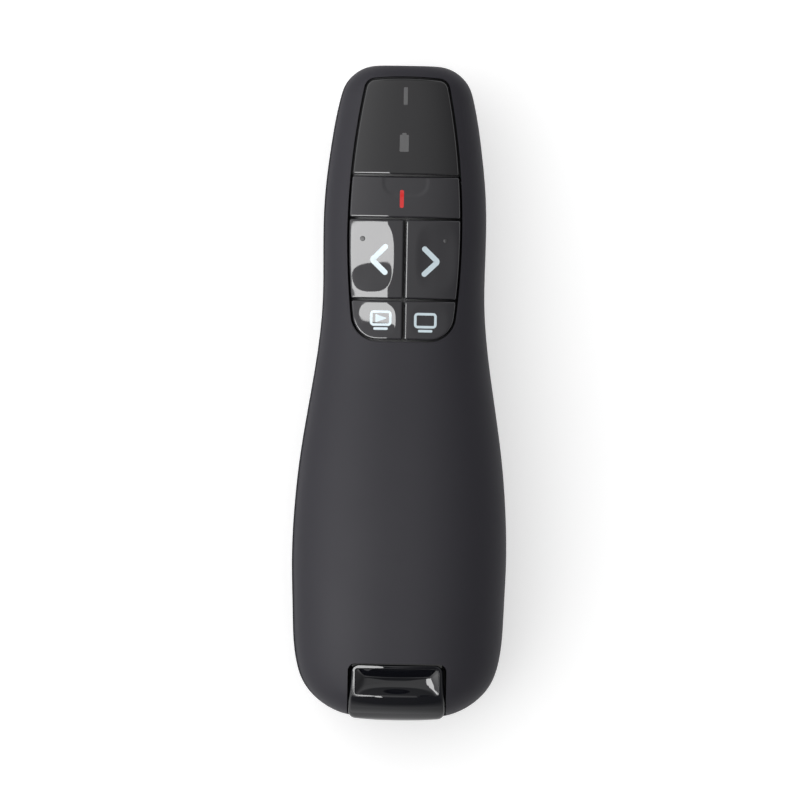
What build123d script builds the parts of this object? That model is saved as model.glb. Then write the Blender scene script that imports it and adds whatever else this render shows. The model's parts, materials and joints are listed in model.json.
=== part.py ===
"""Wireless presentation clicker with a stowed USB receiver, lying on its back with the keys up.

Frame, in millimetres: +Y runs to the nose, where the laser comes out, +X is the right side seen from
above, +Z is up, and the origin is on the table under the middle of the object.
"""

from build123d import *
import math
import os

os.makedirs("parts", exist_ok=True)

# ------------------------------------------------------------------------------------------------
# Body form
# ------------------------------------------------------------------------------------------------
NOSE_Y = 57.75  # front end of the housings
TAIL_Y = -57.05  # rear end of the housings
PARTING_Z = 12.0  # plane where the two housings meet, at the body's widest line
WALL = 1.8  # housing wall
NOSE_CORNER_R = 5.7  # corners of the nose, seen from above
TAIL_CORNER_R = 9.5  # corners of the tail, seen from above
NOSE_EDGE_R = 3.2  # rounding of the nose, seen from the side
TAIL_EDGE_R = 4.8  # rounding of the tail, seen from the side
UPPER_POWER = 2.7  # how square the cross-section is above the parting plane
LOWER_POWER = 3.2  # and below it
FORM_STEPS = 6  # spline points on each quarter of a cross-section
END_STEPS = 4  # cross-sections on each rounded end
MIDDLE_STEPS = 11  # spans between them

# Stations of the body from the tail to the nose: (y, half width), (y, height of the crest) and
# (y, height of the belly). The belly is cut flat by the table plane where it dips below it.
PLAN = (
    (TAIL_Y, 16.2),
    (-48.0, 17.78),
    (-40.0, 18.55),
    (-29.0, 18.93),
    (-14.7, 18.18),
    (-0.5, 16.18),
    (8.0, 14.92),
    (17.8, 14.2),
    (30.6, 14.41),
    (43.3, 13.28),
    (51.8, 11.75),
    (NOSE_Y, 10.9),
)
CREST = (
    (TAIL_Y, 24.8),
    (-45.0, 26.7),
    (-30.0, 27.4),
    (-12.0, 26.6),
    (6.0, 24.9),
    (24.0, 23.7),
    (40.0, 22.7),
    (NOSE_Y, 20.8),
)
BELLY = (
    (TAIL_Y, 3.0),
    (-51.5, 0.2),
    (-42.0, -0.6),
    (-22.0, -0.9),
    (-2.0, -0.8),
    (6.0, -0.3),
    (13.0, 1.6),
    (22.0, 4.8),
    (32.0, 6.4),
    (44.0, 5.9),
    (NOSE_Y, 4.2),
)

# ------------------------------------------------------------------------------------------------
# Keypad
# ------------------------------------------------------------------------------------------------
KEY_GAP = 0.4  # slit between two keys, and between the keys and the housing
KEYPAD_REAR_Y = 9.2
KEYPAD_REAR_HALF = 8.54
KEYPAD_REAR_R = 4.6
KEYPAD_WIDE_Y = 28.5
KEYPAD_WIDE_HALF = 9.95
KEYPAD_FRONT_Y = 55.2
KEYPAD_FRONT_HALF = 7.1
KEYPAD_FRONT_R = 1.9
KEYPAD_FRONT_CROWN = 0.43
WINDOW_SPLIT_Y = 38.3  # slit between the status window and the laser key
LASER_SPLIT_Y = 30.7  # slit between the laser key and the arrow keys
ARROW_SPLIT_Y = 16.4  # slit between the arrow keys and the lower keys
KEY_PROUD = 0.15  # keys stand this much above the housing
KEY_PLATE = 1.35  # thickness of a key's top plate
KEY_EDGE_R = 0.3  # rounding of a key's upper edge
KEY_TRAVEL = 0.4
KEY_LEDGE = 0.8  # overhang of a key's plate past its skirt
KEY_SKIRT_WALL = 0.9
KEY_SKIRT_BOTTOM_Z = 19.4
KEY_POST_R = 1.1
DISH_DEPTH = 0.45  # finger hollow of an arrow key
DISH_HALF_WIDTH = 3.7
DISH_HALF_LENGTH = 6.0
ARROW_DISH_X = 4.9
ARROW_DISH_Y = 23.4
LOWER_DISH_DEPTH = 0.22  # finger hollow of a lower key
LOWER_DISH_HALF_WIDTH = 3.0
LOWER_DISH_HALF_LENGTH = 2.8
SCOOP_DEPTH = 0.3  # finger hollow of the laser key
SCOOP_HALF_WIDTH = 4.3
SCOOP_HALF_LENGTH = 3.4
SCOOP_Y = 37.6
HOLLOW_REACH = 1.6  # length of the tool that presses a hollow, in lengths of the hollow
FRAME_BOTTOM_Z = 18.6
FRAME_CLEARANCE = 0.15  # around the skirts, and above the frame when a key is down
FRAME_RIM = 1.2  # frame past the keypad outline

# ------------------------------------------------------------------------------------------------
# Main board and what it carries
# ------------------------------------------------------------------------------------------------
BOARD_TOP_Z = 16.3
BOARD_THICK = 1.0
BOARD_EDGE_GAP = 0.4
BOARD_SETBACK = 9.8  # board's rear edge ahead of the battery bay
BOARD_FRONT_Y = 52.9
SWITCH_SIDE = 4.5
SWITCH_HEIGHT = 2.6
SWITCH_PLATE = 0.3  # metal top plate of a switch
LEAD_WIDTH = 0.7
LEAD_REACH = 0.6
PLUNGER_R = 1.0
PLUNGER_HEIGHT = 1.0
LOWER_KEY_X = 4.3
SWITCH_SPOTS = {
    "laser": (0.0, 34.4),
    "previous": (-ARROW_DISH_X, ARROW_DISH_Y),
    "next": (ARROW_DISH_X, ARROW_DISH_Y),
    "start_show": (-LOWER_KEY_X, 13.0),
    "blank_screen": (LOWER_KEY_X, 13.0),
}
LED_X = -0.3
LASER_LED_Y = 51.6
BATTERY_LED_Y = 44.2
LED_LENGTH = 1.6
LED_WIDTH = 0.8
LED_HEIGHT = 0.7
GUIDE_R = 1.1
GUIDE_GAP = 0.1

# ------------------------------------------------------------------------------------------------
# Laser
# ------------------------------------------------------------------------------------------------
BARREL_R = 3.0
BARREL_BORE_R = 2.4
BARREL_REAR_Y = 42.5
BARREL_FRONT_Y = 54.9
BARREL_LIP = 0.6
BARREL_MOUTH_R = 1.6
SADDLE_INSET = 3.6  # saddles' distance from the barrel's ends
LENS_THICK = 1.4
DIODE_LENGTH = 3.5
DRIVER_LENGTH = 7.5
DRIVER_HALF_WIDTH = 2.6
DRIVER_THICK = 0.8
APERTURE_R = 3.2
APERTURE_LENGTH = 2.3
APERTURE_BORE_R = 2.2
APERTURE_EXIT_R = 1.5
APERTURE_GLASS = 0.8
APERTURE_RECESS = 0.7
RADIAL_FIT = 0.05  # fit of turned parts in their bores
SEAT_FIT = 0.1  # fit of a loose part in a moulded seat

# ------------------------------------------------------------------------------------------------
# Battery bay and door
# ------------------------------------------------------------------------------------------------
CELL_R = 5.25  # AAA cell
CELL_LENGTH = 44.5
CELL_NUB_R = 1.9
CELL_NUB = 0.8
CELL_PITCH = 11.2
CELL_GAP = 0.35
BAY_WALL = 1.0
BAY_HALF_WIDTH = 11.1
BAY_SPARE = 5.5  # bay's length past a cell's, for the contacts and the squeezed spring
BAY_REAR_Y = -52.2
CONTACT_THICK = 0.4
CONTACT_HALF_WIDTH = 3.6
CONTACT_DIMPLE = 0.5
CONTACT_DIMPLE_R = 1.5
CONTACT_TOUCH = 0.05
SPRING_WIRE_R = 0.25
SPRING_BASE_R = 3.3
SPRING_TIP_R = 2.2
SPRING_TURNS = 3
DOOR_HALF_WIDTH = 12.4
DOOR_THICK = 1.8
DOOR_EDGE_Z = 3.6  # top of the door's side ribs
DOOR_RIB = 1.2
DOOR_TAIL_Y = -53.5
DOOR_TAIL_Z = 9.0  # top of the door's upturned tail
DOOR_GAP = 0.15
DOOR_CORNER_R = 5.0
DOOR_FRONT_GAP = 0.6  # door's front edge ahead of the bay's front wall
TONGUE_DEPTH = 0.6
TONGUE_THICK = 0.8
TONGUE_LENGTH = 6.0
TONGUE_BACK = (42.4, 24.4, 7.4)  # tongues' distances behind the door's front edge
GRIP_RIB_COUNT = 5
GRIP_RIB_PITCH = 1.6
GRIP_RIB_DEPTH = 0.5
GRIP_RIB_HALF_WIDTH = 6.0
GRIP_SETBACK = 4.9  # first groove behind the door's front edge

# ------------------------------------------------------------------------------------------------
# Receiver and its sleeve
# ------------------------------------------------------------------------------------------------
STICK_HALF_WIDTH = 8.2
STICK_THICK = 7.2
STICK_LENGTH = 20.0
STICK_WALL = 1.0
STICK_EDGE_R = 0.8
LID_THICK = 1.0
LID_GAP = 0.05
CAP_END_Y = -57.75
CAP_FRONT_Y = -47.9
CAP_HALF_WIDTH = 8.45
CAP_NECK_HALF_WIDTH = 8.0
CAP_TAPER_Y = -54.2
CAP_END_CROWN = 0.45
CAP_CORNER_R = 1.3
CAP_TOP_DROP = 0.1  # cap's top below the housing's crest
CAP_TOP_EDGE_R = 4.2
CAP_CROWN_R = 46.0
THUMB_DEPTH = 1.5
THUMB_FRONT_Y = -48.5
THUMB_REAR_Y = -53.1
THUMB_HALF_WIDTH = 7.3
THUMB_SLOPE = 1.4
THUMB_CORNER_R = 0.9
NOTCH_GAP = 0.25
NOTCH_CORNER_R = 1.4
PLUG_HALF_WIDTH = 6.0  # USB type A plug, 12.0 x 4.5
PLUG_HEIGHT = 4.5
PLUG_LENGTH = 12.0
PLUG_WALL = 0.3
PLUG_WINDOW = 2.2
PLUG_WINDOW_X = 3.0
PLUG_WINDOW_FROM_TIP = 5.2
TONGUE_HALF_WIDTH = 5.3
USB_TONGUE_THICK = 1.9
USB_PIN_PITCH = 2.3
USB_PIN_WIDTH = 1.0
USB_PIN_THICK = 0.15
USB_PIN_LENGTH = 7.5
RX_BOARD_THICK = 0.8
RX_BOARD_HALF_WIDTH = 6.4
RX_CHIP_SIDE = 4.0
RX_CHIP_HEIGHT = 0.9
SLEEVE_WALL = 0.8
SLEEVE_FIT = 0.2
SLEEVE_LENGTH = 34.0
SLEEVE_MOUTH_Y = -47.4
TRAY_REAR_Y = -54.8

# ------------------------------------------------------------------------------------------------
# Power slider
# ------------------------------------------------------------------------------------------------
SLIDER_Y = 23.2
SLIDER_TRAVEL = 2.5
SLIDER_HALF_LENGTH = 3.0
SLIDER_Z = 10.4
SLIDER_HALF_HEIGHT = 1.2
SLIDER_RECESS = 0.1  # knob's face inside the body's widest line
SLIDER_GAP = 0.2
SLIDER_INSET = 1.1  # flange's distance from the wall at the parting plane
SLIDER_FLANGE = 0.8
SLIDER_FLANGE_LAP = 1.2
SLIDER_FLANGE_DROP = 0.3  # flange's lower edge below the knob's middle
SLIDER_RIDGES = 4
SLIDER_RIDGE_PITCH = 1.2
SLIDER_RIDGE = 0.35
FORK_WALL = 0.8
POWER_SWITCH_LENGTH = 8.6
POWER_SWITCH_WIDTH = 3.4
POWER_SWITCH_HEIGHT = 3.0
POWER_LEVER = 1.2
POWER_LEVER_REACH = 1.0

# ------------------------------------------------------------------------------------------------
# Screws
# ------------------------------------------------------------------------------------------------
HOUSING_SCREW_R = 1.0
HOUSING_SCREW_HEAD_R = 1.7
HOUSING_SCREW_HEAD = 1.4
HOUSING_SCREW_LENGTH = 11.0
HOUSING_SCREW_SEAT_Z = 6.2
HOUSING_SCREW_SEAT = 1.4
HOUSING_BOSS_R = 2.2
REAR_SCREW_X = 15.2
REAR_SCREW_Y = -37.0
FRONT_SCREW_X = 9.6
FRONT_SCREW_SETBACK = 6.0  # ahead of the battery bay
BOARD_SCREW_R = 0.8
BOARD_SCREW_HEAD_R = 1.5
BOARD_SCREW_HEAD = 1.1
BOARD_SCREW_LENGTH = 5.0
BOARD_BOSS_R = 1.8
BOARD_SCREW_EDGE = 2.6  # rear screws' distance from the board's rear edge
BOARD_SCREW_REAR_X = 8.6
BOARD_SCREW_FRONT_X = 9.0
BOARD_SCREW_FRONT_Y = 36.6
SCREW_HOLE_FIT = 0.05  # radial, where a screw fills its pilot hole
DRIVE_RECESS_R = 0.9
DRIVE_RECESS_DEPTH = 0.6


# ------------------------------------------------------------------------------------------------
# Shared shapes
# ------------------------------------------------------------------------------------------------
def line_at(stations, y):
    """Value at y on the smooth line through the stations: a cubic between each pair, whose slopes
    are the distance-weighted means of the neighbouring chords."""
    last = len(stations) - 1
    spans = [stations[i + 1][0] - stations[i][0] for i in range(last)]
    chords = [(stations[i + 1][1] - stations[i][1]) / spans[i] for i in range(last)]

    def slope(i):
        if i == 0:
            return chords[0]
        if i == last:
            return chords[-1]
        return (chords[i - 1] * spans[i] + chords[i] * spans[i - 1]) / (spans[i - 1] + spans[i])

    i = 0
    while i < last - 1 and y > stations[i + 1][0]:
        i += 1
    t = (y - stations[i][0]) / spans[i]
    rise = chords[i] * spans[i]
    start, end = slope(i) * spans[i], slope(i + 1) * spans[i]
    square = 3 * rise - 2 * start - end
    cube = start + end - 2 * rise
    return stations[i][1] + t * start + t**2 * square + t**3 * cube


def rounding(distance, radius):
    """How far an edge of this radius has drawn in at this distance from the end."""
    if distance >= radius:
        return 0.0
    return radius - math.sqrt(max(radius**2 - (radius - distance) ** 2, 0.0))


def section_size(y, inset=0.0):
    """Half width, crest height and belly height of the body at y, drawn in by the inset."""
    to_nose = NOSE_Y - inset - y
    to_tail = y - TAIL_Y - inset
    half = line_at(PLAN, y) - inset
    half -= rounding(to_nose, NOSE_CORNER_R - inset) + rounding(to_tail, TAIL_CORNER_R - inset)
    edge = rounding(to_nose, NOSE_EDGE_R - inset) + rounding(to_tail, TAIL_EDGE_R - inset)
    return half, line_at(CREST, y) - inset - edge, line_at(BELLY, y) + inset + edge


def half_section(y, half, height, power):
    """Spline over the parting plane, from +X to -X, of the curve |x/half|^p + |z/height|^p = 1, with
    its points at even polar angles."""
    points = []
    for k in range(2 * FORM_STEPS + 1):
        angle = math.pi * k / (2 * FORM_STEPS)
        across, up = math.cos(angle), math.sin(angle)
        reach = (abs(across) ** power + up**power) ** (-1 / power)
        points.append(Vector(half * reach * across, y, PARTING_Z + height * reach * up))
    points[-1] = Vector(-half, y, PARTING_Z)
    start = Vector(0, 0, math.copysign(1, height))
    marks = [k / (2 * FORM_STEPS) for k in range(2 * FORM_STEPS + 1)]
    return Edge.make_spline(points, tangents=[start, -start], parameters=marks)


def body_form(inset=0.0):
    """The body as one solid, drawn in by the inset on every side."""
    rear, front = TAIL_Y + inset, NOSE_Y - inset
    rear_r, front_r = TAIL_CORNER_R - inset, NOSE_CORNER_R - inset
    turn = [math.pi / 2 * k / END_STEPS for k in range(END_STEPS + 1)]
    stations = [rear + rear_r * (1 - math.cos(angle)) for angle in turn]
    middle = (front - front_r) - (rear + rear_r)
    stations += [rear + rear_r + middle * k / MIDDLE_STEPS for k in range(1, MIDDLE_STEPS)]
    stations += [front - front_r * (1 - math.cos(angle)) for angle in reversed(turn)]
    wires = []
    for y in stations:
        half, crest, belly = section_size(y, inset)
        upper = half_section(y, half, crest - PARTING_Z, UPPER_POWER)
        lower = half_section(y, half, belly - PARTING_Z, LOWER_POWER)
        wires.append(Wire([upper, lower]))
    return Solid.make_loft(wires)


def block(low, high):
    """Box between its lowest and highest corners."""
    size = [b - a for a, b in zip(low, high)]
    centre = [(a + b) / 2 for a, b in zip(low, high)]
    return Pos(*centre) * Box(*size)


def rod_z(x, y, low, high, radius):
    """Upright cylinder."""
    return Pos(x, y, (low + high) / 2) * Cylinder(radius, high - low)


def rod_y(x, z, rear, front, radius):
    """Cylinder along Y."""
    return Pos(x, (rear + front) / 2, z) * Rot(90, 0, 0) * Cylinder(radius, front - rear)


def slab(sketch, low, high):
    """Upright prism of a sketch in the XY plane."""
    return extrude(Pos(0, 0, low) * sketch, amount=high - low)


def fuse(shapes):
    """One shape made of several."""
    whole = shapes[0]
    for shape in shapes[1:]:
        whole = whole + shape
    return whole


SKY_Z = 40.0  # above everything
OUTSIDE = 80.0  # past the body in X and Y

FORM = body_form() & block((-OUTSIDE, -OUTSIDE, 0), (OUTSIDE, OUTSIDE, SKY_Z))
SEAT_FORM = body_form(WALL / 2)
CAVITY = body_form(WALL) & block((-OUTSIDE, -OUTSIDE, WALL), (OUTSIDE, OUTSIDE, SKY_Z))
UPPER_SPACE = block((-OUTSIDE, -OUTSIDE, PARTING_Z), (OUTSIDE, OUTSIDE, SKY_Z))
LOWER_SPACE = block((-OUTSIDE, -OUTSIDE, -SKY_Z), (OUTSIDE, OUTSIDE, PARTING_Z))


# ------------------------------------------------------------------------------------------------
# Keypad plan
# ------------------------------------------------------------------------------------------------
def keypad_plan():
    """Outline on the centre line of the slit round the keypad."""
    rear = (KEYPAD_REAR_HALF, KEYPAD_REAR_Y)
    widest = (KEYPAD_WIDE_HALF, KEYPAD_WIDE_Y)
    front = (KEYPAD_FRONT_HALF, KEYPAD_FRONT_Y)
    right = ThreePointArc(rear, widest, front)
    left = mirror(right, about=Plane.YZ)
    crown = ThreePointArc(front, (0, KEYPAD_FRONT_Y + KEYPAD_FRONT_CROWN), left @ 1)
    base = Line(rear, left @ 0)
    plan = make_face([right, crown, left, base])
    ends = plan.vertices().group_by(Axis.Y)
    plan = fillet(ends[0], KEYPAD_REAR_R)
    return fillet(plan.vertices().group_by(Axis.Y)[-1], KEYPAD_FRONT_R)


KEYPAD = keypad_plan()
KEYPAD_INNER = offset(KEYPAD, amount=-KEY_GAP / 2)
KEYPAD_OPENING = offset(KEYPAD, amount=KEY_GAP / 2)


def key_plan(rear, front, side=0):
    """Part of the keypad between two slits; side -1 or 1 takes the left or right half."""
    low = rear + KEY_GAP / 2
    high = front - KEY_GAP / 2
    left = KEY_GAP / 2 if side > 0 else -OUTSIDE
    right = -KEY_GAP / 2 if side < 0 else OUTSIDE
    strip = Pos((left + right) / 2, (low + high) / 2) * Rectangle(right - left, high - low)
    return KEYPAD_INNER & strip


KEY_PLANS = {
    "laser": key_plan(LASER_SPLIT_Y, WINDOW_SPLIT_Y),
    "previous": key_plan(ARROW_SPLIT_Y, LASER_SPLIT_Y, -1),
    "next": key_plan(ARROW_SPLIT_Y, LASER_SPLIT_Y, 1),
    "start_show": key_plan(-OUTSIDE, ARROW_SPLIT_Y, -1),
    "blank_screen": key_plan(-OUTSIDE, ARROW_SPLIT_Y, 1),
}
KEY_TWINS = {"next": "previous", "blank_screen": "start_show"}
WINDOW_PLAN = key_plan(WINDOW_SPLIT_Y, OUTSIDE)


def keypad_face_z(x, y):
    """Height of the keypad's face at (x, y)."""
    half, crest, _ = section_size(y)
    share = (1 - abs(x / half) ** UPPER_POWER) ** (1 / UPPER_POWER)
    return PARTING_Z + (crest - PARTING_Z) * share + KEY_PROUD


def hollow(x, y, depth, half_width, half_length):
    """Spindle whose lower side presses a shallow oval into the keypad's face at (x, y)."""
    across = (half_width**2 + depth**2) / (2 * depth)
    along = (half_length**2 + depth**2) / (2 * depth)
    low = keypad_face_z(x, y) - depth
    reach = min(half_length * HOLLOW_REACH, along / 2)
    end = low + along - math.sqrt(along**2 - reach**2)
    axis_z = low + across
    arc = ThreePointArc((y - reach, end), (y, low), (y + reach, end))
    lid = Polyline((y + reach, end), (y + reach, axis_z), (y - reach, axis_z), (y - reach, end))
    profile = Plane.YZ * make_face([arc, lid])
    return Pos(x, 0, 0) * revolve(profile, Axis((0, 0, axis_z), (0, 1, 0)))


def cap_plate(plan, bottom_z):
    """Plate of the keypad's thickness that follows the body over this plan, with its edge rounded,
    and a hollow skirt under it down to bottom_z."""
    plate = (slab(plan, 0, SKY_Z) & (Pos(0, 0, KEY_PROUD) * FORM)) - Pos(0, 0, KEY_PROUD - KEY_PLATE) * FORM
    plate = plate.solids()[0]
    rim = [e for e in plate.faces().sort_by(Axis.Z)[-1].edges()]
    plate = fillet(rim, KEY_EDGE_R)
    skirt = offset(plan, amount=-KEY_LEDGE) - offset(plan, amount=-KEY_LEDGE - KEY_SKIRT_WALL)
    skirt = slab(skirt, bottom_z, SKY_Z) & (Pos(0, 0, KEY_PROUD - KEY_PLATE / 2) * FORM)
    return plate + skirt


def key(name):
    """Key with its skirt and the post that presses the switch. The keys on the right are the mirror
    images of the left ones."""
    if name in KEY_TWINS:
        return mirror(key(KEY_TWINS[name]), about=Plane.YZ)
    x, y = SWITCH_SPOTS[name]
    body = cap_plate(KEY_PLANS[name], KEY_SKIRT_BOTTOM_Z)
    post_bottom = BOARD_TOP_Z + SWITCH_HEIGHT + PLUNGER_HEIGHT
    body += rod_z(x, y, post_bottom, SKY_Z, KEY_POST_R) & (Pos(0, 0, KEY_PROUD - KEY_PLATE / 2) * FORM)
    if name == "previous":
        body -= hollow(x, y, DISH_DEPTH, DISH_HALF_WIDTH, DISH_HALF_LENGTH)
    if name == "start_show":
        body -= hollow(x, y, LOWER_DISH_DEPTH, LOWER_DISH_HALF_WIDTH, LOWER_DISH_HALF_LENGTH)
    if name == "laser":
        body -= hollow(0, SCOOP_Y, SCOOP_DEPTH, SCOOP_HALF_WIDTH, SCOOP_HALF_LENGTH)
    return body


def key_guide_frame():
    """Frame that guides the skirts. Its top lies under the keys' plates by the travel."""
    plan = offset(KEYPAD, amount=FRAME_RIM)
    front = WINDOW_SPLIT_Y + KEY_GAP / 2 + KEY_LEDGE - FRAME_CLEARANCE
    plan = plan & (Pos(0, front - OUTSIDE / 2) * Rectangle(2 * OUTSIDE, OUTSIDE))
    for key_outline in KEY_PLANS.values():
        plan = plan - offset(key_outline, amount=FRAME_CLEARANCE - KEY_LEDGE)
    drop = KEY_PLATE - KEY_PROUD + KEY_TRAVEL + FRAME_CLEARANCE
    frame = slab(plan, FRAME_BOTTOM_Z, SKY_Z) & (Pos(0, 0, -drop) * FORM)
    return frame & body_form(WALL + FRAME_CLEARANCE)


# ------------------------------------------------------------------------------------------------
# Battery bay
# ------------------------------------------------------------------------------------------------
BAY_LENGTH = CELL_LENGTH + BAY_SPARE
BAY_FRONT_Y = BAY_REAR_Y + BAY_LENGTH
CELL_Z = DOOR_THICK + CELL_GAP + CELL_R
BAY_CEILING_Z = CELL_Z + CELL_R + CELL_GAP
BAY_ROOF_Z = BAY_CEILING_Z + BAY_WALL
DOOR_FRONT_Y = BAY_FRONT_Y + BAY_WALL + DOOR_FRONT_GAP
LEDGE_Z = DOOR_EDGE_Z + DOOR_GAP
TONGUE_Z = DOOR_EDGE_Z - TONGUE_THICK / 2 - DOOR_GAP
TONGUE_Y = [DOOR_FRONT_Y - back for back in TONGUE_BACK]
GRIP_FRONT_Y = DOOR_FRONT_Y - GRIP_SETBACK


def door_space(gap):
    """Space of the door: its panel and upturned tail, widened by the gap."""
    half = DOOR_HALF_WIDTH + gap
    front = DOOR_FRONT_Y + gap
    plan = Pos(0, (front - OUTSIDE) / 2) * Rectangle(2 * half, front + OUTSIDE)
    plan = fillet(plan.vertices().group_by(Axis.Y)[-1], DOOR_CORNER_R)
    panel = slab(plan, -SKY_Z, DOOR_EDGE_Z + gap)
    tail = block((-half, -OUTSIDE, -SKY_Z), (half, DOOR_TAIL_Y + gap, DOOR_TAIL_Z + gap))
    return panel + tail


def battery_door():
    """Belly panel with its upturned tail, side ribs, tongues and finger grooves."""
    door = FORM & door_space(0)
    inside = DOOR_HALF_WIDTH - DOOR_RIB
    door -= CAVITY & block((-inside, -OUTSIDE, 0), (inside, OUTSIDE, SKY_Z))
    for y in TONGUE_Y:
        door += block(
            (-DOOR_HALF_WIDTH - TONGUE_DEPTH, y - TONGUE_LENGTH / 2, TONGUE_Z - TONGUE_THICK / 2),
            (-DOOR_HALF_WIDTH + DOOR_RIB, y + TONGUE_LENGTH / 2, TONGUE_Z + TONGUE_THICK / 2),
        )
        door += block(
            (DOOR_HALF_WIDTH - DOOR_RIB, y - TONGUE_LENGTH / 2, TONGUE_Z - TONGUE_THICK / 2),
            (DOOR_HALF_WIDTH + TONGUE_DEPTH, y + TONGUE_LENGTH / 2, TONGUE_Z + TONGUE_THICK / 2),
        )
    for k in range(GRIP_RIB_COUNT):
        y = GRIP_FRONT_Y - k * GRIP_RIB_PITCH
        groove = rod_y(0, 0, -GRIP_RIB_HALF_WIDTH, GRIP_RIB_HALF_WIDTH, GRIP_RIB_DEPTH)
        door -= Pos(0, y, 0) * Rot(0, 0, 90) * groove
    return door


def cell(side):
    """AAA cell; the left one points its nub forwards, the right one backwards."""
    nub_gap = CONTACT_THICK + CONTACT_DIMPLE + CONTACT_TOUCH
    x = side * CELL_PITCH / 2
    if side < 0:
        tip = BAY_FRONT_Y - nub_gap
        can = rod_y(x, CELL_Z, tip - CELL_LENGTH, tip - CELL_NUB, CELL_R)
        nub = rod_y(x, CELL_Z, tip - CELL_NUB, tip, CELL_NUB_R)
    else:
        tip = BAY_REAR_Y + nub_gap
        can = rod_y(x, CELL_Z, tip + CELL_NUB, tip + CELL_LENGTH, CELL_R)
        nub = rod_y(x, CELL_Z, tip, tip + CELL_NUB, CELL_NUB_R)
    can = fillet(can.edges().filter_by(GeomType.CIRCLE), CELL_NUB / 2)
    return can + nub


def contact_plate(side, wall_y, inward, spread=0.0):
    """Flat plate on an end wall of the bay; inward is the way towards the cell."""
    x = side * CELL_PITCH / 2
    rear, front = sorted((wall_y, wall_y + inward * CONTACT_THICK))
    low = (min(x, x + spread) - CONTACT_HALF_WIDTH, rear, CELL_Z - CONTACT_HALF_WIDTH)
    high = (max(x, x + spread) + CONTACT_HALF_WIDTH, front, CELL_Z + CONTACT_HALF_WIDTH)
    return block(low, high)


def contact_dimple(side, wall_y, inward):
    """Raised button that meets a cell's nub."""
    x = side * CELL_PITCH / 2
    start = wall_y + inward * CONTACT_THICK / 2
    end = wall_y + inward * (CONTACT_THICK + CONTACT_DIMPLE)
    rear, front = sorted((start, end))
    return rod_y(x, CELL_Z, rear, front, CONTACT_DIMPLE_R)


def contact_spring(side, wall_y, inward):
    """Conical coil that meets a cell's flat end."""
    nub_gap = CONTACT_THICK + CONTACT_DIMPLE + CONTACT_TOUCH
    height = BAY_LENGTH - CELL_LENGTH - nub_gap - CONTACT_THICK - CONTACT_TOUCH
    lead = height - 2 * SPRING_WIRE_R + CONTACT_THICK / 2
    cone = math.degrees(math.atan2(SPRING_TIP_R - SPRING_BASE_R, lead))
    path = Helix(lead / SPRING_TURNS, lead, SPRING_BASE_R, cone_angle=cone)
    start = Plane(origin=path @ 0, z_dir=path % 0)
    coil = sweep(start * Circle(SPRING_WIRE_R), path, is_frenet=True)
    x = side * CELL_PITCH / 2
    foot = wall_y + inward * (CONTACT_THICK / 2 + SPRING_WIRE_R)
    return Pos(x, foot, CELL_Z) * Rot(-90 * inward, 0, 0) * coil


def contact_positive():
    return contact_plate(-1, BAY_FRONT_Y, -1) + contact_dimple(-1, BAY_FRONT_Y, -1)


def contact_negative():
    return contact_plate(1, BAY_FRONT_Y, -1) + contact_spring(1, BAY_FRONT_Y, -1)


def contact_bridge():
    plate = contact_plate(-1, BAY_REAR_Y, 1, spread=CELL_PITCH)
    return plate + contact_dimple(1, BAY_REAR_Y, 1) + contact_spring(-1, BAY_REAR_Y, 1)


# ------------------------------------------------------------------------------------------------
# Receiver
# ------------------------------------------------------------------------------------------------
SLEEVE_BOTTOM_Z = BAY_ROOF_Z
STICK_BOTTOM_Z = SLEEVE_BOTTOM_Z + SLEEVE_WALL + SLEEVE_FIT
STICK_TOP_Z = STICK_BOTTOM_Z + STICK_THICK
STICK_MID_Z = (STICK_BOTTOM_Z + STICK_TOP_Z) / 2
STICK_FRONT_Y = CAP_FRONT_Y + STICK_LENGTH
PLUG_TIP_Y = STICK_FRONT_Y + PLUG_LENGTH
NOTCH_HALF_WIDTH = CAP_HALF_WIDTH + NOTCH_GAP
NOTCH_FRONT_Y = CAP_FRONT_Y + NOTCH_GAP
CAP_TOP_Z = section_size(CAP_FRONT_Y)[1] - CAP_TOP_DROP
CAP_REAR_TOP_Z = section_size(CAP_TAPER_Y)[1] - CAP_TOP_DROP


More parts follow.
